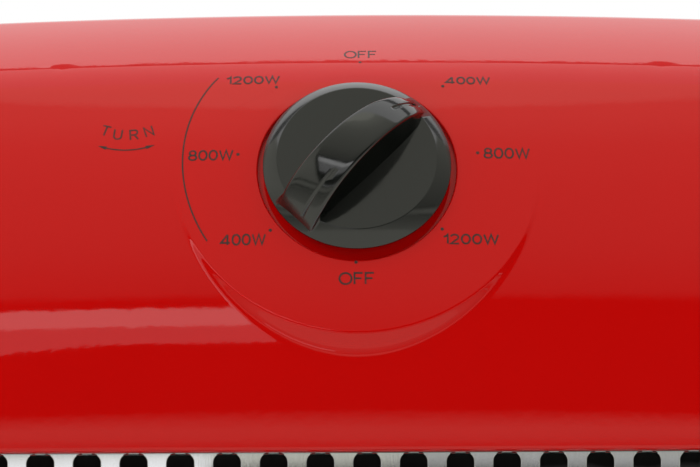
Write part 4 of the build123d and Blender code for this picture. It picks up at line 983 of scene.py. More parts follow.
class HEATER_OT_stage(Operator):
    """Sets up the floor, the soft light, the graded cards round the front and the camera"""

    bl_idname = "heater.stage"
    bl_label = "Stage"

    def execute(self, context):
        scene = context.scene
        scene.view_settings.view_transform = "Standard"
        self.world(scene)
        self.floor()
        self.cards()
        self.lamps()
        self.camera(scene)
        return {"FINISHED"}

    def world(self, scene):
        """Even pale light all round, and a white ground behind the object."""
        world = bpy.data.worlds.new("studio_air")
        world.use_nodes = True
        scene.world = world
        nodes, links = world.node_tree.nodes, world.node_tree.links
        path = nodes.new("ShaderNodeLightPath").outputs
        seen = path["Is Camera Ray"]
        for ray in ("Is Glossy Ray", "Is Transmission Ray"):
            either = nodes.new("ShaderNodeMath")
            either.operation = "MAXIMUM"
            links.new(seen, either.inputs[0])
            links.new(path[ray], either.inputs[1])
            seen = either.outputs[0]
        choose = nodes.new("ShaderNodeMixShader")
        links.new(seen, choose.inputs[0])
        soft, ground = nodes["Background"], nodes.new("ShaderNodeBackground")
        for background, strength, slot in ((soft, AIR_LEVEL, 1), (ground, 1.0, 2)):
            background.inputs["Color"].default_value = (1.0, 1.0, 1.0, 1.0)
            background.inputs["Strength"].default_value = strength
            links.new(background.outputs[0], choose.inputs[slot])
        links.new(choose.outputs[0], nodes["World Output"].inputs["Surface"])

    def floor(self):
        """A plain pale floor, large enough for every view."""
        surface = Surface()
        line = np.linspace(-4000.0, 4000.0, 24)
        x, y = np.meshgrid(line, line)
        surface.grid(np.stack([x, y, np.full(x.shape, -0.05)], axis=-1), np.array([0.0, 0, 1.0]))
        finish = Finish("studio_floor")
        finish.tone(finish.noise(3.0, 2.0), tint("floor_tone"), 0.99, 1.01)
        finish.set(Roughness=0.6)
        floor = surface.build("floor", finish.material)

    def cards(self):
        """Cards of light round the heater, seen only in reflections: a dome that is
        light overhead and darker in front, a skirt and a table below it, a window and
        cards at the sides, strips low in front and a thin dark rail high up behind."""
        dome = self.sector(3000.0, (0.0, 88.0, 46), (180.0, 360.0, 61))
        self.glowing("front_card", dome, DOME, WARM)
        turns = np.radians(np.linspace(170.0, 370.0, 61))
        self.glowing("skirt_card", self.upright_ring(1200.0, turns, (10.0, 430.0)), SKIRT, WARM)
        turn = (225.0, 268.5, 24)
        self.glowing("window_upper", self.sector(2900.0, (20.1, 24.3, 3), turn), even(1.75))
        lower = self.sector(2900.0, (16.2, 20.1, 3), turn)
        # the lower edge of the window falls towards the left
        fall = np.interp(np.linspace(*turn), (225, 258, 263, 268.5), (6.0, 3.4, 0.0, 0.0))
        lower[0, :, 2] -= 2900.0 * np.radians(fall)
        self.glowing("window_lower", lower, even(0.72))
        edges = HEAD_MIDDLE[1:] + 2600.0 * around(np.radians([47.4, 56.3]))
        rail = [[[x, y, z] for x in (-5000.0, 5000.0)] for y, z in edges]
        self.glowing("dark_rail", np.array(rail), even(0.2))
        table = np.stack([lying(12.0)(reach * around(turns)) for reach in (300.0, 1200.0)])
        self.glowing("table_card", table, even(0.62), WARM)
        for name, start, end, low, level in (
            ("strip_left", -22.0, -4.4, 195.0, 1.15),
            ("strip_right", 1.5, 22.0, 246.7, 0.5),
        ):
            turns = np.radians(np.linspace(start - 90.0, end - 90.0, 8))
            self.glowing(name, self.upright_ring(1190.0, turns, (low, 254.5)), even(level))
        for name, turn, stops in (
            ("left_card", (150.0, 222.0, 24), ((0.0, 0.4), (0.5, 0.6), (1.0, 0.5))),
            ("right_card", (318.0, 390.0, 24), ((0.0, 0.16), (0.5, 0.3), (1.0, 0.42))),
        ):
            self.glowing(name, self.sector(2800.0, (-6.0, 36.0, 8), turn), (0.0, 2.2, stops), WARM)

    def upright_ring(self, reach, turns, levels):
        """Part of an upright round wall, between two heights."""
        return np.stack([lying(z)(reach * around(turns)) for z in levels])

    def sector(self, reach, rise, turn):
        """Part of a sphere round the head, between two heights and two turns."""
        rise, turn = (np.radians(np.linspace(*span)) for span in (rise, turn))
        rise, turn = rise[:, None], turn[None, :]
        flat, level = np.cos(rise), np.sin(rise) * np.ones_like(turn)
        points = np.stack([np.cos(turn) * flat, np.sin(turn) * flat, level], axis=-1)
        return points * reach + HEAD_MIDDLE

    def glowing(self, name, points, grade, tone=(1.0, 1.0, 1.0)):
        """A card of light graded by height, which only reflections show. The grade is
        its lowest and highest level and the strength at shares of the way up."""
        low, high, stops = grade
        surface = Surface()
        surface.grid(points, unit(HEAD_MIDDLE - points))
        material = bpy.data.materials.new(name)
        material.use_nodes = True
        nodes, links = material.node_tree.nodes, material.node_tree.links
        nodes.clear()
        output = nodes.new("ShaderNodeOutputMaterial")
        glow = nodes.new("ShaderNodeEmission")
        where = nodes.new("ShaderNodeTexCoord")
        split = nodes.new("ShaderNodeSeparateXYZ")
        links.new(where.outputs["Object"], split.inputs[0])
        height = nodes.new("ShaderNodeMapRange")
        height.inputs["From Min"].default_value = low
        height.inputs["From Max"].default_value = high
        links.new(split.outputs["Z"], height.inputs["Value"])
        ramp = nodes.new("ShaderNodeValToRGB")
        links.new(height.outputs["Result"], ramp.inputs["Fac"])
        elements = ramp.color_ramp.elements
        while len(elements) > 1:
            elements.remove(elements[0])
        for k, (place, level) in enumerate(stops):
            stop = elements[0] if k == 0 else elements.new(place)
            stop.position, stop.color = place, (*(level * part for part in tone), 1.0)
        links.new(ramp.outputs["Color"], glow.inputs["Color"])
        links.new(glow.outputs[0], output.inputs["Surface"])
        card = surface.build(name, material)
        card.visible_camera = card.visible_diffuse = card.visible_shadow = False
        card.visible_transmission = card.visible_volume_scatter = False

    def lamps(self):
        """Three large soft lamps, for gentle shape in the dull surfaces."""
        for name, place, aim, power, size in (
            ("key_light", (-1.4, -1.6, 2.2), (0, 0, 0.35), 16.0, 1.6),
            ("back_light", (1.2, 1.8, 1.9), (0, 0, 0.3), 8.0, 1.6),
            ("top_light", (-0.1, 0.95, 2.25), (0, 0, 0.45), 19.0, 1.2),
        ):
            light = bpy.data.lights.new(name, "AREA")
            light.energy, light.size = power, size
            lamp = bpy.data.objects.new(name, light)
            bpy.context.scene.collection.objects.link(lamp)
            lamp.visible_glossy = False
            ahead = unit(np.array(aim) - np.array(place))
            right = unit(np.cross(ahead, [0, 0, 1.0]))
            up = np.cross(right, ahead)
            turn = Matrix(np.column_stack([right, up, -ahead]).tolist()).to_4x4()
            lamp.matrix_world = Matrix.Translation(place) @ turn

    def camera(self, scene):
        """The photograph's viewpoint, framing and angle of view."""
        data = bpy.data.cameras.new("photo_camera")
        camera = bpy.data.objects.new("photo_camera", data)
        scene.collection.objects.link(camera)
        data.sensor_fit, data.sensor_width = "HORIZONTAL", SENSOR
        data.lens = PHOTO_REACH / PHOTO_WIDTH * SENSOR
        data.clip_start, data.clip_end = 0.02, 30.0
        look, right, up = view_directions()
        turn = Matrix(np.column_stack([right, up, -look]).tolist()).to_4x4()
        camera.matrix_world = Matrix.Translation((-0.0018, -0.7242, 0.4906)) @ turn
        scene.camera = camera


# ---------------------------------------------------------------- the head's mouldings


COLLAR_DEPTH, COLLAR_WALL = 12.0, 2.0  # of the collar behind the window's edge
VENT_SIZE, VENT_PITCH, VENT_LIP = (40.0, 4.0), (50.0, 11.0), 0.5
VENTS = ((60.0, 8), (-110.0, 4))  # middle above the window's and rows of each group
WELL_RADIUS, WELL_SIDE, WELL_RISES = 3.1, 142.0, (-105.0, 0.0, 105.0)


class HEATER_OT_front_housing(Operator):
    """Makes the red front moulding with its control panel, dial pad and window"""

    bl_idname = "heater.front_housing"
    bl_label = "Front housing"

    def execute(self, context):
        head = HeadShape()
        surface = Surface()
        y_end = FRONT_HIGH[1]
        rows = np.concatenate([
            np.arange(8.0, head.panel_end - 2.0, 2.6),
            np.linspace(head.panel_end - 1.0, head.crease - 4.0, 8),
            np.linspace(head.crease - 3.6, head.crease + 4.0, 26),
            np.linspace(head.crease + 5.0, head.crest_start - 1.0, 14),
            np.linspace(head.crest_start, head.crest_end - 0.2, 12),
        ])
        low_rows = np.array([4.0, 0.0])
        # finer where the sink marks are
        inner = np.concatenate([np.arange(0.0, 65.0, 2.5), np.arange(65.5, 86.1, 0.8)])
        outer = np.linspace(0.0, 1.0, 12)[1:]  # shares of what is left of the width
        width, height, corner, lip = (
            millimetres("window_" + name) for name in ("width", "height", "corner", "round")
        )
        centre = (0.0, (GUARD_LOW[2] + GUARD_HIGH[2]) / 2)
        loop, out = rounded_loop(width, height, corner, 10, centre)
        out3 = standing(out)
        y_lip = head.front + COLLAR_DEPTH
        # the lip's rounding, from the panel's own skin down to the window's edge
        outer_loop = loop + out * lip
        skin, skin_n = head.skin(*head.levelled(outer_loop).T)
        rings, normals = [], []
        for turn in np.radians(np.linspace(0, 90, 8)):
            ring = skin - out3 * lip * math.sin(turn)
            ring[:, 1] += lip * (1 - math.cos(turn))
            rings.append(ring)
            normals.append(skin_n * math.cos(turn) - out3 * math.sin(turn))
        surface.grid(np.stack(rings), unit(np.stack(normals)), closed=True)
        surface.tube(rings[-1], standing(loop, y_lip), -out3)
        lip_loop = loop + out * COLLAR_WALL
        surface.plate([loop, lip_loop], upright(y_lip), [0, 1, 0])
        inside = head.skin(*head.levelled(lip_loop).T, head.wall)[0]
        surface.tube(standing(lip_loop, y_lip), inside, out3)
        columns = (inner, outer)
        half_head(surface, head, True, y_end, rows, low_rows, columns, [outer_loop], [lip_loop])
        material = glossy_plastic("red_plastic", tint("red_plastic"), 0.04)
        piece = surface.build("front_shell", material)
        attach(piece, "head")
        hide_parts("front_housing")
        return {"FINISHED"}


class HEATER_OT_rear_housing(Operator):
    """Makes the red rear moulding with its vents, hand grip and screw wells"""

    bl_idname = "heater.rear_housing"
    bl_label = "Rear housing"

    def execute(self, context):
        head = HeadShape()
        surface = Surface()
        y_end = REAR_LOW[1]
        rows = np.concatenate([
            np.linspace(split_distance(head, y_end) + 0.5, head.corner_start, 4),
            np.linspace(head.corner_start, head.s_back, 18)[1:],
        ])
        low_rows = head.s_back + np.linspace(0.0, head.w_back - head.shoulder_z, 9)[1:]
        inner = np.arange(0.0, 85.0, 12.0)
        outer = np.linspace(0.0, 1.0, 7)[1:]
        holes, inner_holes = [], []
        window_z = (GUARD_LOW[2] + GUARD_HIGH[2]) / 2
        y_in = head.back - head.wall
        for lift, count in VENTS:
            for row in range(count):
                z = window_z + lift + (row - (count - 1) / 2) * VENT_PITCH[1]
                for column in range(4):
                    middle = ((column - 1.5) * VENT_PITCH[0], z)
                    loop, out = rounded_loop(*VENT_SIZE, 1.0, 3, middle)
                    holes.append(hole_edge(surface, loop, out, head.back, y_in, VENT_LIP))
                    inner_holes.append(loop)
        # the hand grip's pocket: its middle below the crown, its floor and its back
        grip_z = head.crown_z + millimetres("crown_radius") - 64.0
        y_grip, y_box = head.back - 20.0, head.back - 22.5
        loop, out = rounded_loop(104.0, 28.0, 8.0, 8, (0.0, grip_z))
        holes.append(hole_edge(surface, loop, out, head.back, y_grip, 2.0))
        surface.plate([loop], upright(y_grip), [0, 1, 0])
        pocket = loop + out * head.wall
        inner_holes.append(pocket)
        surface.tube(standing(pocket, y_in), standing(pocket, y_box), standing(out))
        surface.plate([pocket], upright(y_box), [0, -1, 0])
        wells = [
            circle_loop(WELL_RADIUS, 28, (WELL_SIDE, window_z + lift)) for lift in WELL_RISES
        ]
        columns = (inner, outer)
        half_head(surface, head, False, y_end, rows, low_rows, columns, holes, inner_holes, wells)
        material = glossy_plastic("red_plastic_rear", tint("red_plastic"), 0.10)
        piece = surface.build("rear_shell", material)
        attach(piece, "head")
        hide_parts("rear_housing")
        return {"FINISHED"}


# ---------------------------------------------------------------- the knob


def boolean(piece, cutter, operation):
    """Joins a cutter to the piece, or cuts it away, and gives the result."""
    change = piece.modifiers.new("join", "BOOLEAN")
    change.operation, change.solver, change.object = operation, "EXACT", cutter
    result = finished(piece)
    bpy.data.objects.remove(cutter, do_unlink=True)
    return result


# start, end, middle, half width and depth of the grip's pointer and of its fine line
GROOVES = ((12.2, 20.3, 0.0, 0.6, 0.5), (-20.6, -9.6, 2.2, 0.09, 0.14))


class HEATER_OT_knob(Operator):
    """Makes the dial knob, a bevelled disc with a half-moon grip and a pointer groove"""

    bl_idname = "heater.knob"
    bl_label = "Knob"

    def execute(self, context):
        head = HeadShape()
        radius = millimetres("knob_radius")
        right, up = np.array([1.0, 0, 0]), head.up
        along, across = (right + up) / math.sqrt(2), (right - up) / math.sqrt(2)
        material = self.plastic()

        def place(s, w, t):
            return head.dial_centre + along * s + across * w + head.out * t

        # the grip's top is an arc with its centre this far below the dial
        arc = millimetres("grip_radius")
        sink = arc - millimetres("knob_height")
        knob = boolean(
            self.disc(head, place, radius, material),
            self.blade(head, place, along, radius, arc, sink, material), "UNION",
        )
        for groove in GROOVES:
            cutter = self.groove(place, arc, sink, groove, material)
            knob = boolean(knob, cutter, "DIFFERENCE")
        knob.modifiers.new("weld", "WELD").merge_threshold = 0.00003
        knob = finished(knob)
        knob.data.set_sharp_from_angle(angle=math.radians(38))
        # faces with many corners are the large plane ones, and stay plane
        for face in knob.data.polygons:
            face.use_smooth = len(face.vertices) < 20
        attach(knob, "dial")
        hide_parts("knob")
        return {"FINISHED"}

    def disc(self, head, place, radius, material):
        """The knob's round skirt, with its edges rounded."""
        outline = [
            (radius - 1.6, -0.6), (radius - 1.4, 1.3), (radius - 0.2, 1.4),
            (radius, 1.6), (radius, 2.1), (19.5, 5.4),
        ]
        turns = whole_turn(120)
        rings = np.stack([
            [place(r * math.cos(a), r * math.sin(a), t) for a in turns] for r, t in outline
        ])
        disc = Surface()
        disc.grid(rings, unit(rings - place(0, 0, 2.4)), closed=True)
        disc.add(rings[-1], head.out, [range(len(turns))])
        disc.add(rings[0], -head.out, [range(len(turns))])
        disc = disc.build("knob", material)
        bevel = disc.modifiers.new("round", "BEVEL")
        bevel.width, bevel.segments = 0.3 * TO_METRES, 3
        bevel.limit_method, bevel.angle_limit = "ANGLE", math.radians(24)
        return finished(disc)

    def blade(self, head, place, along, radius, arc, sink, material):
        """The half-moon grip, in ribs from one end to the other."""
        corner, dish = 0.8, 0.3
        end = math.sqrt(arc**2 - (sink + 3.6) ** 2)
        rounding = corner * (1 - around(np.radians([0, 30, 60, 90])))
        ribs = []
        for s in np.concatenate([
            np.linspace(-end, -19, 9), np.linspace(-18, 18, 30), np.linspace(19, end, 9)
        ]):
            top = math.sqrt(arc**2 - s**2) - sink
            room = math.sqrt(max((radius - 0.15) ** 2 - s**2, 0.01))
            low = min(np.interp(s, [-22, 0, 17, 22], [5.8, 5.6, 5.3, 3.8]), room)
            high = np.interp(s, [-22, -17, 0, 10, 17, 22], [5.6, 5.6, 5.0, 4.4, 3.5, 2.2])
            high = min(high, low)
            rib = [(low, 2.0), (high + 0.01, top - 0.5 - corner)]
            rib += [(high - w, top - dish - t) for w, t in rounding]
            rib += [(k * (high - corner) / 4, top - dish * (k / 4) ** 2) for k in range(3, -4, -1)]
            rib += [(w - high, top - dish - t) for w, t in rounding[::-1]]
            rib += [(-high - 0.01, top - 0.5 - corner), (-low, 2.0)]
            ribs.append([place(s, w, t) for w, t in rib])
        ribs = np.array(ribs)
        blade = Surface()
        blade.grid(ribs, unit(ribs - place(0, 0, 4.0)))
        blade.grid(ribs[:, [0, -1]], -head.out)
        for end, way in ((0, -1), (-1, 1)):
            blade.add(ribs[end], along * way, [range(ribs.shape[1])])
        return blade.build("blade", material)

    def groove(self, place, arc, sink, sizes, material):
        """A shallow groove along the grip, as the solid that is cut away."""
        start, end, middle, half, depth = sizes
        ends = np.radians(np.linspace(90, 270, 7))
        outline = [(start + half + half * math.cos(a), half * math.sin(a)) for a in ends]
        outline += [(s, -half) for s in np.linspace(start + 1, end - 1, 8)]
        outline += [(end - half - half * math.cos(a), -half * math.sin(a)) for a in ends]
        outline += [(s, half) for s in np.linspace(end - 1, start + 1, 8)]
        walls = np.array([
            [place(s, middle + w, math.sqrt(arc**2 - s**2) - sink + lift) for s, w in outline]
            for lift in (-depth, 2.0)
        ])
        low, high = walls
        cutter = Surface()
        heart = (low.mean(axis=0) + high.mean(axis=0)) / 2
        cutter.grid(walls, unit(walls - heart), closed=True)
        out = unit(high[0] - low[0])
        triangles = fill([np.array(outline)])[1]
        cutter.add(high, out, triangles)
        cutter.add(low, -out, triangles)
        return cutter.build("groove", material)

    def plastic(self):
        """Black plastic, polished, with fine rubbed marks."""
        finish = Finish("knob_plastic")
        finish.tone(finish.noise(90.0, 4.0), tint("knob_black"), 0.85, 1.25)
        rubbed = finish.noise(240.0, 5.0, 0.65)
        finish.roughness(finish.band(rubbed, 0.3, 0.75, 0.08, 0.15))
        finish.bump(finish.sum(finish.noise(600.0, 2.0), finish.specks(1500.0, 0.05)), 0.000006)
        finish.set(IOR=1.8)
        return finish.material


# ---------------------------------------------------------------- the dial's print

# each word and its box on the dial: left, bottom, right, top
WATTS = (
    ("OFF", (-3.1, 35.5, 5.3, 39.4)),
    ("400W", (22.09, 24.98, 33.41, 27.57)),
    ("800W", (31.03, 2.66, 42.44, 5.76)),
    ("1200W", (20.65, -20.39, 34.24, -17.63)),
    ("OFF", (-4.61, -30.58, 4.07, -27.39)),
    ("400W", (-33.21, -20.34, -22.12, -17.31)),
    ("800W", (-41.39, 2.58, -30.26, 5.60)),
    ("1200W", (-32.53, 25.41, -19.09, 28.21)),
)
DOTS = (
    (0.94, 33.4), (21.53, 24.33), (29.60, 4.27), (20.52, -16.44),
    (-0.39, -24.90), (-21.09, -16.51), (-29.19, 4.19), (-19.94, 24.33),
)
# each letter, its middle and its turn
TURN_LETTERS = (
    ("T", -61.94, 11.9, 0.30), ("U", -58.85, 10.75, 0.12),
    ("R", -54.88, 10.5, -0.10), ("N", -51.25, 11.4, -0.30),
)
TURN_SIZE = np.array([3.1, 2.75])
LETTER_GAP = 0.22
DOT_RADIUS, ARC_STROKE, ARROW_STROKE, ARROW_HALF = 0.4, 0.34, 0.32, 0.48


def bend(cx, cy, rx, ry, start, end, count=14):
    """Points along part of an ellipse, between two turns in degrees."""
    turns = np.radians(np.linspace(start, end, count))
    return [(cx + rx * math.cos(a), cy + ry * math.sin(a)) for a in turns]


# each letter's width and strokes, at a height of one
LETTERS = {
    "0": (0.62, [bend(0.31, 0.5, 0.31, 0.5, 0, 345, 24)]),
    "1": (0.30, [[(0.0, 0.74), (0.20, 0.84), (0.30, 1.0), (0.30, 0.0)]]),
    "2": (0.60, [bend(0.29, 0.70, 0.28, 0.30, 165, -35) + [(0.0, 0.0), (0.60, 0.0)]]),
    "4": (0.74, [[(0.74, 0.20), (0.0, 0.20), (0.54, 1.0)], [(0.54, 1.0), (0.54, 0.0)]]),
    "8": (0.60, [
        bend(0.30, 0.75, 0.25, 0.25, 0, 345, 20), bend(0.30, 0.26, 0.30, 0.26, 0, 345, 20),
    ]),
    "F": (0.62, [[(0.0, 0.0), (0.0, 1.0), (0.62, 1.0)], [(0.0, 0.52), (0.52, 0.52)]]),
    "N": (0.62, [[(0.0, 0.0), (0.0, 1.0), (0.62, 0.0), (0.62, 1.0)]]),
    "O": (0.92, [bend(0.46, 0.5, 0.46, 0.5, 0, 345, 28)]),
    "R": (0.60, [
        [(0.0, 0.0), (0.0, 1.0)] + bend(0.34, 0.75, 0.25, 0.25, 90, -90) + [(0.0, 0.5)],
        [(0.32, 0.5), (0.60, 0.0)],
    ]),
    "T": (0.66, [[(0.0, 1.0), (0.66, 1.0)], [(0.33, 1.0), (0.33, 0.0)]]),
    "U": (0.60, [[(0.0, 1.0)] + bend(0.30, 0.32, 0.30, 0.32, 180, 360) + [(0.60, 1.0)]]),
    "W": (1.05, [[(0.0, 1.0), (0.26, 0.0), (0.525, 1.0), (0.79, 0.0), (1.05, 1.0)]]),
}


def stroke_loops(line, width):
    """The outline of a stroke along a line of points, as one loop, or as two when the
    line is a ring of many points that nearly meets itself."""
    line = np.asarray(line, float)
    width = np.broadcast_to(width, len(line)) / 2
    gap, step = np.linalg.norm(line[0] - line[-1]), np.linalg.norm(line[0] - line[1])
    ring = len(line) > 19 and gap < 3 * step
    ahead = unit(np.roll(line, -1, axis=0) - line)
    behind = np.roll(ahead, 1, axis=0)
    if not ring:
        ahead[-1], behind[0] = behind[-1], ahead[0]
    across = unit(ahead + behind)[:, ::-1] * [-1, 1]
    reach = width / np.maximum((across * (ahead[:, ::-1] * [-1, 1])).sum(axis=1), 0.45)
    left, right = line + across * reach[:, None], line - across * reach[:, None]
    return [left, right] if ring else [np.vstack([left, right[::-1]])]


def word(text):
    """All strokes of a word at a height of one, and the word's width."""
    strokes, place = [], 0.0
    for letter in text:
        width, lines = LETTERS[letter]
        strokes += [np.array(line) + [place, 0.0] for line in lines]
        place += width + LETTER_GAP
    return strokes, place - LETTER_GAP


class HEATER_OT_dial_print(Operator):
    """Prints the dial's words, dots, arc and arrow on the panel"""

    bl_idname = "heater.dial_print"
    bl_label = "Dial print"

    def execute(self, context):
        head = HeadShape()
        width = millimetres("stroke")
        shapes = []
        for text, (x0, v0, x1, v1) in WATTS:
            strokes, wide = word(text)
            scale = np.array([(x1 - x0 - width) / wide, v1 - v0 - width])
            corner = [x0 + width / 2, v0 + width / 2]
            shapes += [stroke_loops(line * scale + corner, width) for line in strokes]
        for text, x, v, turn in TURN_LETTERS:
            strokes, wide = word(text)
            c, n = math.cos(turn), math.sin(turn)
            for line in strokes:
                across, rise = ((line - [wide / 2, 0.5]) * TURN_SIZE).T
                turned = np.column_stack([across * c + rise * n, rise * c - across * n])
                shapes.append(stroke_loops(turned + [x, v], width * 0.85))
        shapes += [[circle_loop(DOT_RADIUS, 20, dot)[0]] for dot in DOTS]
        shapes.append(stroke_loops(self.bracket_arc(), ARC_STROKE))
        shaft = self.arrow_line()
        shapes.append(stroke_loops(shaft[2:-2], ARROW_STROKE))
        for tip, back in ((shaft[0], shaft[3]), (shaft[-1], shaft[-4])):
            side = unit(back - tip)[::-1] * [-ARROW_HALF, ARROW_HALF]
            shapes.append([np.array([tip, back + side, back - side])])
        mesh = self.ink(head, shapes)
        finish = Finish("print_ink")
        worn = finish.noise(900.0, 4.0, 0.7)
        bare = finish.band(worn, 0.52, 0.72, 0.0, 0.65)
        finish.colour(finish.mix(bare, tint("print_ink"), shade(tint("red_plastic"), 0.5)))
        finish.roughness(finish.band(worn, 0.3, 0.7, 0.3, 0.5))
        finish.bump(worn, 0.00001)
        piece = place_object("dial_print", mesh, finish.material)
        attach(piece, "head")
        return {"FINISHED"}

    def ink(self, head, shapes):
        """Shapes on the dial joined into one thin layer of ink."""
        corners = np.vstack([loop for loops in shapes for loop in loops])
        edges, parts = [], []
        for loops in shapes:
            part = loop_edges(loops, len(edges))
            edges += part
            parts.append([(corners[a], corners[b]) for a, b in part])
        flat, triangles = triangulated(corners, edges, 1e-6)
        middles = flat[triangles].mean(axis=1)
        inside = np.zeros(len(middles), bool)
        for part in parts:
            inside |= odd_crossings(middles, part)
        triangles = triangles[inside]
        a, b, c = (flat[triangles[:, k]] for k in range(3))
        clockwise = (b - a)[:, 0] * (c - a)[:, 1] < (b - a)[:, 1] * (c - a)[:, 0]
        triangles[clockwise] = triangles[clockwise][:, ::-1]
        base, normal = head.dial_face(*flat.T), head.dial_skin(*flat.T)[1]
        height, count = millimetres("print_height"), len(flat)
        points = np.vstack([base + normal * height, base - normal * height * 0.4])
        once = {}
        for face in triangles:
            for i, j in zip(face, np.roll(face, -1)):
                once[(i, j)] = (j, i) not in once
                if not once[(i, j)]:
                    once[(j, i)] = False
        rim = [edge for edge, alone in once.items() if alone]
        faces = [tuple(map(int, face)) for face in triangles]
        faces += [tuple(int(i) + count for i in face[::-1]) for face in triangles]
        faces += [(int(j), int(i), int(i) + count, int(j) + count) for i, j in rim]
        used = sorted({i for face in faces for i in face})
        renamed = {old: new for new, old in enumerate(used)}
        faces = [tuple(renamed[i] for i in face) for face in faces]
        mesh = bpy.data.meshes.new("dial_print")
        mesh.from_pydata((points[used] * TO_METRES).tolist(), [], faces)
        mesh.update()
        return mesh

    def bracket_arc(self):
        """The arc at the left of the dial, through its three measured points."""
        start, middle, end = np.array([(-34.47, 27.73), (-42.72, 3.73), (-36.37, -19.03)])
        # the circle's centre is as far from the start as from the other two
        spans = 2 * np.array([middle - start, end - start])
        squares = [point @ point - start @ start for point in (middle, end)]
        centre = np.linalg.solve(spans, squares)
        first, last = (math.atan2(*(point - centre)[::-1]) for point in (start, end))
        turns = np.linspace(first, last + 2 * math.pi, 40)
        return centre + math.dist(start, centre) * around(turns)

    def arrow_line(self):
        """The double arrow's curved line."""
        t = np.linspace(0, 1, 21)[:, None]
        start, low, end = np.array([(-63.66, 7.56), (-56.75, 4.75), (-49.72, 7.37)])
        return (1 - t) ** 2 * start + 2 * t * (1 - t) * low + t**2 * end


# ---------------------------------------------------------------- guard, lamps and reflector


# the sheet's thickness, the rounding of a slot's edge, how far in the flat net ends
# and the pan's own roll takes over, and the flange's width
SHEET, COIN, NET_END, FLANGE = 0.8, 0.22, 0.25, 8.4
PAN_SIZE = (GUARD_HIGH - GUARD_LOW)[[0, 2]] - 2 * FLANGE
PAN_MIDDLE = np.array([0.0, (GUARD_LOW[2] + GUARD_HIGH[2]) / 2])


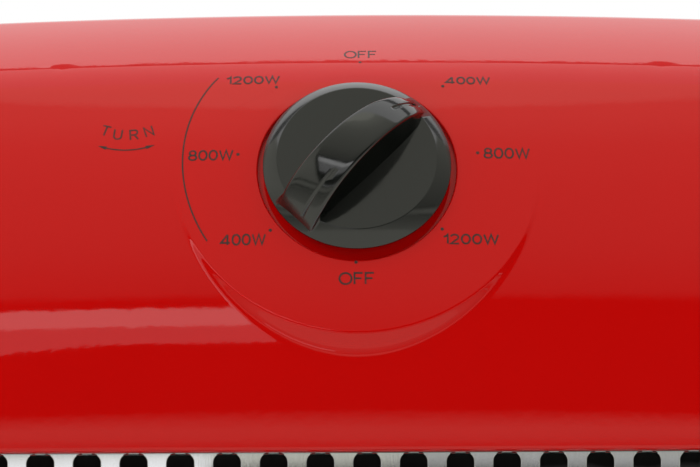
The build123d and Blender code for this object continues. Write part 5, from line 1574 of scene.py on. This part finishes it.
class HEATER_OT_guard(Operator):
    """Makes the stamped steel guard with its rounded slots"""

    bl_idname = "heater.guard"
    bl_label = "Guard"

    def execute(self, context):
        surface = Surface()
        self.face(surface)
        self.pan(surface)
        piece = surface.build("guard_sheet", self.steel())
        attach(piece, "head")
        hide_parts("guard")
        return {"FINISHED"}

    def corner(self):
        """Corner radius of the pan."""
        return millimetres("window_corner") - 0.4

    def outline(self, inset):
        """The pan's outline, moved in, and its outward directions."""
        return rounded_loop(*(PAN_SIZE - 2 * inset), self.corner() - inset, 8, PAN_MIDDLE)

    def slots(self):
        """Centre and size of every slot."""
        sizes = bpy.context.scene.heater_sizes
        width, pitch = millimetres("slot_width"), millimetres("slot_pitch")
        columns, rows, bridge, offset = sizes.slot_columns, sizes.slot_rows, 7.0, 2.0
        tall = (PAN_SIZE[1] - 1.0 - (rows - 1) * bridge) / rows
        across = [offset + (column - (columns - 1) / 2) * pitch for column in range(columns)]
        levels = [PAN_MIDDLE[1] + (row - (rows - 1) / 2) * (tall + bridge) for row in range(rows)]
        return [((x, z), (width, tall)) for z in levels for x in across]

    def net(self, slots):
        """Flat corners and triangles of the slotted face, with the folds of its roll."""
        loops = []
        for centre, size in slots:
            loop, out = rounded_loop(*size, millimetres("slot_corner"), 5, centre)
            loops.append(loop + out * COIN)
        loops.append(self.outline(NET_END)[0])
        roll = millimetres("guard_roll")
        folds = [self.outline(inset)[0] for inset in ((NET_END + roll) / 2, roll)]
        lines = loop_edges(folds, sum(len(loop) for loop in loops))
        return fill_edges(np.vstack(loops + folds), loop_edges(loops), lines)

    def face(self, surface):
        """The slotted face, front and back, and the edges of its slots."""
        slots, roll = self.slots(), millimetres("guard_roll")
        flat, triangles = self.net(slots)
        # each point's depth on the rolled edge and the sheet's direction there
        inset, out = round_distance(flat - PAN_MIDDLE, PAN_SIZE / 2, self.corner())
        lean = np.arcsin(np.clip((roll + inset) / roll, 0, 1))
        points = upright(GUARD_LOW[1])(flat)
        points[:, 1] += roll * (1 - np.cos(lean))
        normals = standing(out * np.sin(lean)[:, None], -np.cos(lean))
        # points on a slot's edge, and the way from there into the slot
        at_slot = np.zeros(len(flat), bool)
        move = np.zeros((len(flat), 3))
        for centre, size in slots:
            half, corner = np.array(size) / 2, millimetres("slot_corner")
            gap, away = round_distance(flat - centre, half, corner)
            here = np.abs(gap - COIN) < 1e-3
            move[here] = -standing(away[here]) * COIN
            at_slot |= here
        surface.add(points, normals, triangles)
        back = points + move - normals * SHEET
        surface.add(back, -normals, triangles)
        sides = {}
        for face in triangles:
            for pair in zip(face, np.roll(face, -1)):
                pair = (min(pair), max(pair))
                sides[pair] = sides.get(pair, 0) + 1
        rim = [pair for pair, uses in sides.items() if uses == 1 and at_slot[list(pair)].all()]
        self.slot_edges(surface, points, normals, back, move, rim)

    def slot_edges(self, surface, points, normals, back, move, rim):
        """The rounded edge and the wall of every slot, from the edges in rim backwards."""
        layers, layer_n = [], []
        for turn in np.radians([0, 30, 60, 90]):
            layer = points + move * math.sin(turn)
            layer[:, 1] += COIN * (1 - math.cos(turn))
            layers.append(layer)
            layer_n.append(normals * math.cos(turn) + move / COIN * math.sin(turn))
        layers.append(back)
        layer_n.append(move / COIN)
        count = len(points)
        faces = [
            (low + i, low + j, low + count + j, low + count + i)
            for low in range(0, 4 * count, count) for i, j in rim
        ]
        surface.add(np.vstack(layers), unit(np.vstack(layer_n)), faces)

    def pan(self, surface):
        """The rest of the roll, the pan's wall and the flange behind the housing."""
        roll, y_flange = millimetres("guard_roll"), GUARD_HIGH[1] - SHEET
        loop, out = self.outline(roll)
        out3 = standing(out)
        face = np.array([0, -1.0, 0])
        base = standing(loop, GUARD_LOW[1] + roll)
        turns = np.linspace(math.asin((roll - NET_END) / roll), math.pi / 2, 4)
        leans = np.stack([out3 * math.sin(t) + face * math.cos(t) for t in turns])
        outer, inside = base + leans * roll, base + leans * (roll - SHEET)
        surface.grid(outer, leans, closed=True)
        surface.grid(inside, -leans, closed=True)
        wall = self.outline(0.0)[0]
        rim = self.outline(-FLANGE)[0]
        y_back = y_flange + SHEET
        inner_wall = standing(wall - out * SHEET, y_back)
        surface.tube(outer[-1], standing(wall, y_flange), out3)
        surface.tube(standing(wall, y_flange), standing(rim, y_flange), face)
        surface.tube(standing(rim, y_flange), standing(rim, y_back), out3)
        surface.tube(standing(rim, y_back), inner_wall, -face)
        surface.tube(inside[-1], inner_wall, -out3)

    def steel(self):
        """Bright stamped steel, brushed up and down."""
        finish = Finish("guard_steel")
        lines = finish.noise(2600.0, 3.0, 0.6, finish.stretch((1.0, 1.0, 0.02)))
        finish.tone(lines, tint("guard_steel"), 0.86, 1.12)
        finish.roughness(finish.band(lines, 0.25, 0.75, 0.03, 0.07))
        finish.bump(lines, 0.000004)
        finish.set(Metallic=1.0)
        return finish.material


class HEATER_OT_lamps(Operator):
    """Makes the quartz lamps' wound wires, and dresses lamps, caps and clips"""

    bl_idname = "heater.lamps"
    bl_label = "Lamps"

    def execute(self, context):
        low, high = corners_of(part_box("heating_coils"))
        tubes_low, tubes_high = corners_of(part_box("lamp_tubes"))
        radius = 5.0  # of a lamp's tube
        rows = (tubes_low[2] + radius, (tubes_low[2] + tubes_high[2]) / 2, tubes_high[2] - radius)
        y = (low[1] + high[1]) / 2
        surface = Surface()
        # radius of the wire and of its winding, the winding's pitch, and how many
        # sides the wire has and points each turn
        wire, winding, pitch, sides, per_turn = 0.22, 0.68, 1.15, 5, 9
        count = int((high[0] - low[0]) / pitch * per_turn)
        along = np.linspace(low[0] + 0.3, high[0] - 0.3, count)
        turn = (along - low[0]) / pitch * 2 * np.pi
        radial = np.column_stack([np.zeros(count), around(turn)])
        for z in rows:
            centre = np.column_stack([along, around(turn) * winding + [y, z]])
            ahead = unit(np.gradient(centre, axis=0))
            aside = unit(np.cross(ahead, radial))
            normals = np.stack([
                radial * math.cos(a) + aside * math.sin(a) for a in whole_turn(sides)
            ], axis=1)
            rings = centre[:, None] + normals * wire
            surface.grid(rings, normals, closed=True)
            for end, way in ((0, -1), (-1, 1)):
                surface.add(rings[end], ahead[end] * way, [range(sides)])
        finish = Finish("wound_wire")
        glow = finish.noise(200.0, 3.0)
        finish.colour(finish.mix(glow, (0.30, 0.29, 0.28, 1.0), (0.5, 0.49, 0.47, 1.0)))
        finish.roughness(finish.band(glow, 0.3, 0.7, 0.3, 0.45))
        finish.set(Metallic=1.0)
        piece = surface.build("wound_wires", finish.material)
        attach(piece, "head")
        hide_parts("heating_coils")
        dress(clear_glass("quartz_glass"), "lamp_tubes")
        dress(ceramic("cap_ceramic"), "ceramic_caps")
        dress(plated_steel("clip_steel", (0.62, 0.61, 0.58, 1.0), 0.32), "lamp_clips")
        return {"FINISHED"}


class HEATER_OT_reflector(Operator):
    """Dresses the polished reflector, the shield behind it and the end brackets"""

    bl_idname = "heater.reflector"
    bl_label = "Reflector"

    def execute(self, context):
        dress(self.aluminium(), "reflector")
        dress(
            plated_steel("zinc_steel", (0.52, 0.52, 0.51, 1.0), 0.38),
            "heat_shield", "end_bracket_left", "end_bracket_right", "head_floor",
        )
        return {"FINISHED"}

    def aluminium(self):
        """Rolled aluminium, with painted shade: dark bands on its upper and lower lips."""
        finish = Finish("reflector_metal")
        lines = finish.noise(1800.0, 3.0, 0.6, finish.stretch((0.02, 1.0, 1.0)))
        metal = (0.56, 0.56, 0.57, 1.0)
        clean = finish.mix(lines, shade(metal, 0.82), shade(metal, 1.12))
        split = finish.node("ShaderNodeSeparateXYZ")
        finish.links.new(finish.where, split.inputs[0])
        # painted shade: nearly black, rougher bands on the upper and lower lips, their edges
        # wobbled by noise
        shade_band_wobble = finish.band(finish.noise(30.0, 4.0), 0.3, 0.7, -0.002, 0.002)
        height = finish.sum(split.outputs["Z"], shade_band_wobble)
        top = finish.band(height, 0.386, 0.394, 0.0, 1.0)
        low = finish.band(height, 0.144, 0.152, 1.0, 0.0)
        painted_shade_bands = finish.sum(top, low, "MAXIMUM")
        # the painted shade bands mixed in over the clean metal
        finish.colour(finish.mix(painted_shade_bands, clean, (0.02, 0.02, 0.02, 1.0)))
        polish = finish.band(lines, 0.2, 0.8, 0.11, 0.2)
        finish.roughness(finish.sum(polish, finish.band(painted_shade_bands, 0.0, 1.0, 0.0, 0.35)))
        finish.bump(lines, 0.000006)
        finish.set(Metallic=1.0)
        return finish.material


# ---------------------------------------------------------------- screws and inner pieces


SCREW_RADIUS, SCREW_HEIGHT, SHANK_RADIUS = 3.0, 2.0, 1.45
# shares of the head's radius and height, and how far its side leans there
SCREW_PROFILE = (
    (1.0, 0.0, 0.0), (1.0, 0.35, 0.15), (0.93, 0.66, 0.55), (0.72, 0.9, 0.85), (0.6, 0.97, 0.97),
)


def screw(surface, centre, out, turn, depth):
    """A screw whose head stands on centre and whose shank runs down from there."""
    out = np.asarray(out, float)
    right = unit(np.cross(out, [0.31, 0.52, 0.79]))
    up = np.cross(out, right)

    def place(flat, level):
        """Flat points put in space at a level above centre."""
        return centre + flat[:, :1] * right + flat[:, 1:] * up + out * level

    screw_head(surface, place, out, turn)
    shank(surface, place, centre, out, depth)


def screw_head(surface, place, out, turn):
    """A pan-head screw's head with a cross recess."""
    circle = around(whole_turn(32))
    radial = place(circle, 0.0) - place(circle * 0, 0.0)
    rings, normals = [], []
    for reach, level, lean in SCREW_PROFILE:
        rings.append(place(circle * SCREW_RADIUS * reach, SCREW_HEIGHT * level))
        normals.append(radial * math.sqrt(1 - lean**2) + out * lean)
    surface.grid(np.stack(rings), unit(np.stack(normals)), closed=True)
    # the recess, a cross that gets narrower on the way down
    arm, half = SCREW_RADIUS * 0.5, SCREW_RADIUS * 0.13
    c, s = math.cos(turn), math.sin(turn)
    quarters = [np.array([(arm, half), (half, half), (half, arm)])]
    for _ in range(3):
        quarters.append(quarters[-1] @ [[0, 1], [-1, 0]])
    cross = np.vstack(quarters) @ [[c, s], [-s, c]]
    rim, top, _ = SCREW_PROFILE[-1]
    bottom = 0.35

    def at(level):
        return lambda flat: place(flat, SCREW_HEIGHT * level)

    surface.plate([circle * SCREW_RADIUS * rim, cross], at(top), out)
    upper = at(top)(cross)
    middle = at(1.0)(np.zeros((1, 2)))
    surface.tube(upper, at(bottom)(cross * 0.55), unit(middle - upper))
    surface.plate([cross * 0.55], at(bottom), out)


def shank(surface, place, centre, out, depth):
    """A screw's threaded shank below its head, in four rings for each turn."""
    pitch, sides = 1.0, 14
    circle = around(whole_turn(sides)) * SHANK_RADIUS
    levels = np.arange(0.0, depth + 0.01, pitch / 4)
    reach = np.where(np.isin(np.arange(len(levels)) % 4, (1, 2)), 1.0, 0.78)
    reach[-1] *= 0.35
    rings = np.stack([place(circle * share, -level) for share, level in zip(reach, levels)])
    away = unit(rings - (centre - out * levels[:, None, None]))
    surface.grid(rings, away, closed=True)
    surface.add(rings[-1], -out, [range(sides)])
    surface.add(rings[0], out, [range(sides)])


class HEATER_OT_screws(Operator):
    """Makes the cross-head screws in the back of the head and under the base"""

    bl_idname = "heater.screws"
    bl_label = "Screws"

    def execute(self, context):
        steel = plated_steel("screw_steel", (0.42, 0.42, 0.43, 1.0), 0.3)
        low, high = corners_of(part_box("housing_screws"))
        surface = Surface()
        inner_low, inner_high = low + SCREW_RADIUS, high - SCREW_RADIUS
        for x in (inner_low[0], inner_high[0]):
            for k, z in enumerate((inner_low[2], (low[2] + high[2]) / 2, inner_high[2])):
                centre = np.array([x, high[1] - SCREW_HEIGHT, z])
                depth = high[1] - SCREW_HEIGHT - low[1]
                screw(surface, centre, (0, 1, 0), 0.4 + 1.1 * k + x, depth)
        piece = surface.build("head_screws", steel)
        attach(piece, "head")
        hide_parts("housing_screws")
        low, high = corners_of(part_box("base_screws"))
        surface = Surface()
        inner_low, inner_high = low + SCREW_RADIUS, high - SCREW_RADIUS
        places = [(side * 62.0, end * inner_high[1]) for side in (-1, 1) for end in (-1, 1)]
        places += [(inner_low[0], 0.0), (inner_high[0], 0.0)]
        for k, (x, y) in enumerate(places):
            centre = np.array([x, y, low[2] + SCREW_HEIGHT])
            screw(surface, centre, (0, 0, -1), 0.9 * k, high[2] - low[2] - SCREW_HEIGHT)
        piece = surface.build("foot_screws", steel)
        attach(piece, "base")
        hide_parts("base_screws")
        return {"FINISHED"}


class HEATER_OT_inner_pieces(Operator):
    """Dresses the switch, the swivel and the swing drive inside the heater"""

    bl_idname = "heater.inner_pieces"
    bl_label = "Inner pieces"

    def execute(self, context):
        dress(
            satin_plastic("switch_plastic", (0.05, 0.05, 0.052, 1.0), 0.45),
            "rotary_switch", "tip_switch", "thermal_cutout",
        )
        dress(
            brushed_metal("turned_steel", (0.56, 0.56, 0.57, 1.0), 0.28, (1.0, 1.0, 0.05)),
            "control_shaft", "shaft_clip", "swivel_tube", "bearing_ring", "swing_lever",
            "tip_spring",
        )
        dress(
            satin_plastic("bearing_plastic", (0.72, 0.71, 0.68, 1.0), 0.4),
            "bearing_bush", "thrust_washer", "crank_arm", "crank_roller", "tip_guide",
            "tip_plunger", "terminal_block", "cord_clamp",
        )
        dress(plated_steel("motor_case", (0.45, 0.44, 0.40, 1.0), 0.35), "swing_motor")
        return {"FINISHED"}


# ---------------------------------------------------------------- the base


def stadium(half_length, half_depth, steps):
    """Outline with straight sides and round ends, and its outward directions."""
    straight = half_length - half_depth
    right = around(np.radians(np.linspace(-90, 90, steps)))
    out = np.vstack([right, -right])
    middle = np.repeat([[straight, 0.0], [-straight, 0.0]], steps, axis=0)
    return middle + out * half_depth, out


PLINTH_TOP, SKIRT_TOP, BASE_WALL, SLEEVE = 46.0, 24.0, 2.8, 44.0


class HEATER_OT_base(Operator):
    """Makes the black base cover with its neck, and dresses plate, feet and bushing"""

    bl_idname = "heater.base"
    bl_label = "Base"

    def execute(self, context):
        surface = Surface()
        rings = self.plinth(surface)
        self.neck(surface, rings[-1])
        # the skirt's lower edge and its inner wall
        under, out = self.outline(BASE_WALL)
        low = lying(COVER_LOW[2])(under)
        surface.tube(rings[0], low, [0, 0, -1.0])
        surface.tube(low, lying(SKIRT_TOP)(under), lying(0.0)(-out))
        material = satin_plastic("base_plastic", tint("base_black"), 0.30, 1100.0, 0.00005)
        piece = surface.build("base_shell", material)
        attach(piece, "base")
        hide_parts("base_cover")
        dress(rubber("foot_rubber"), "rubber_feet", "cord_bushing")
        dress(plated_steel("plate_steel", (0.50, 0.50, 0.49, 1.0), 0.4), "base_plate")
        return {"FINISHED"}

    def outline(self, inset):
        """The plinth's outline, moved in, and its outward directions."""
        return stadium(COVER_HIGH[0] - inset, COVER_HIGH[1] - inset, 41)

    def plinth(self, surface):
        """The plinth's skirt, its slope and the rounding up to its flat top, in rings
        that are given back."""
        rim, tall = COVER_LOW[2], PLINTH_TOP - SKIRT_TOP
        # the profile: how far in it is, its height and its lean
        run = tall * math.tan(math.radians(50.0))
        slope = math.pi / 2 - math.atan2(tall, run)
        levels = [(0.8, rim, -1.2), (0.15, rim + 0.35, -0.6), (0.0, rim + 0.9, 0.0)]
        levels += [(0.0, SKIRT_TOP - 2.2, 0.0)]
        for a in slope * np.arange(1, 6) / 5:
            levels.append((4.7 * (1 - math.cos(a)), SKIRT_TOP - 2.2 + 4.7 * math.sin(a), a))
        corner = 9.0
        back = corner * math.tan((math.pi / 2 - slope) / 2)
        ball_inset = run - back * math.sin(slope) + corner * math.cos(slope)
        ball_z = PLINTH_TOP - back * math.cos(slope) - corner * math.sin(slope)
        for a in slope + (math.pi / 2 - slope) * np.arange(7) / 6:
            levels.append((ball_inset - corner * math.cos(a), ball_z + corner * math.sin(a), a))
        rings, normals = [], []
        for inset, z, lean in levels:
            loop, out = self.outline(inset)
            rings.append(lying(z)(loop))
            normals.append(lying(math.sin(lean))(out * math.cos(lean)))
        surface.grid(np.stack(rings), np.stack(normals), closed=True)
        return rings

    def neck(self, surface, edge):
        """The neck, the flat top between it and the plinth's edge, and its bore."""
        top, neck_top = PLINTH_TOP, COVER_HIGH[2]
        # from the fillet on the flat top to the bore: radius, height and lean
        foot_r, neck_r, fillet, lip, bore = 60.0, 50.0, 8.0, 1.0, 21.2
        lean = math.atan2(foot_r - neck_r, neck_top - top)
        reach = fillet * math.tan((math.pi / 2 - lean) / 2)
        neck = []
        for a in math.pi / 2 - (math.pi / 2 - lean) * np.arange(7) / 6:
            across, rise = fillet * math.cos(a), fillet * math.sin(a)
            neck.append((foot_r + reach - across, top + fillet - rise, a))
        neck.append((neck_r + 1.2 * math.sin(lean), neck_top - 1.2, lean))
        for a in lean + (math.pi / 2 - lean) * np.arange(1, 5) / 4:
            neck.append((neck_r - lip + lip * math.cos(a), neck_top - lip + lip * math.sin(a), a))
        neck.append((bore, neck_top, math.pi / 2))
        radial = around(whole_turn(96))
        points = np.stack([lying(z)(radial * r) for r, z, _ in neck])
        normals = np.stack([lying(math.sin(a))(radial * math.cos(a)) for _, _, a in neck])
        surface.grid(points, normals, closed=True)
        surface.plate([edge[:, :2], points[0][:, :2]], lying(top), [0, 0, 1])
        # inner wall of the bearing sleeve
        inner = radial * bore
        surface.tube(lying(neck_top)(inner), lying(neck_top - SLEEVE)(inner), lying(0.0)(-radial))


SCENE_STEPS = (
    HEATER_OT_stage,
    HEATER_OT_front_housing,
    HEATER_OT_rear_housing,
    HEATER_OT_knob,
    HEATER_OT_dial_print,
    HEATER_OT_guard,
    HEATER_OT_lamps,
    HEATER_OT_reflector,
    HEATER_OT_screws,
    HEATER_OT_inner_pieces,
    HEATER_OT_base,
)


class HEATER_PT_pieces(Panel):
    """Lists the heater's pieces in the sidebar"""

    bl_label = "Halogen heater"
    bl_space_type = "VIEW_3D"
    bl_region_type = "UI"
    bl_category = "Heater"

    def draw(self, context):
        layout = self.layout
        for step in SCENE_STEPS:
            layout.operator(step.bl_idname)
        for group in (context.scene.heater_sizes, context.scene.heater_colours):
            for name in group.bl_rna.properties.keys():
                if name not in ("rna_type", "name"):
                    layout.prop(group, name)


CLASSES = (HeaterSizes, HeaterColours, *SCENE_STEPS, HEATER_PT_pieces)


def register():
    for cls in CLASSES:
        bpy.utils.register_class(cls)
    bpy.types.Scene.heater_sizes = PointerProperty(type=HeaterSizes)
    bpy.types.Scene.heater_colours = PointerProperty(type=HeaterColours)


def unregister():
    del bpy.types.Scene.heater_colours
    del bpy.types.Scene.heater_sizes
    for cls in reversed(CLASSES):
        bpy.utils.unregister_class(cls)


def main():
    register()
    bpy.ops.heater.stage()
    bpy.ops.heater.front_housing()
    bpy.ops.heater.rear_housing()
    bpy.ops.heater.knob()
    bpy.ops.heater.dial_print()
    bpy.ops.heater.guard()
    bpy.ops.heater.lamps()
    bpy.ops.heater.reflector()
    bpy.ops.heater.screws()
    bpy.ops.heater.inner_pieces()
    bpy.ops.heater.base()


if __name__ == "__main__":
    main()
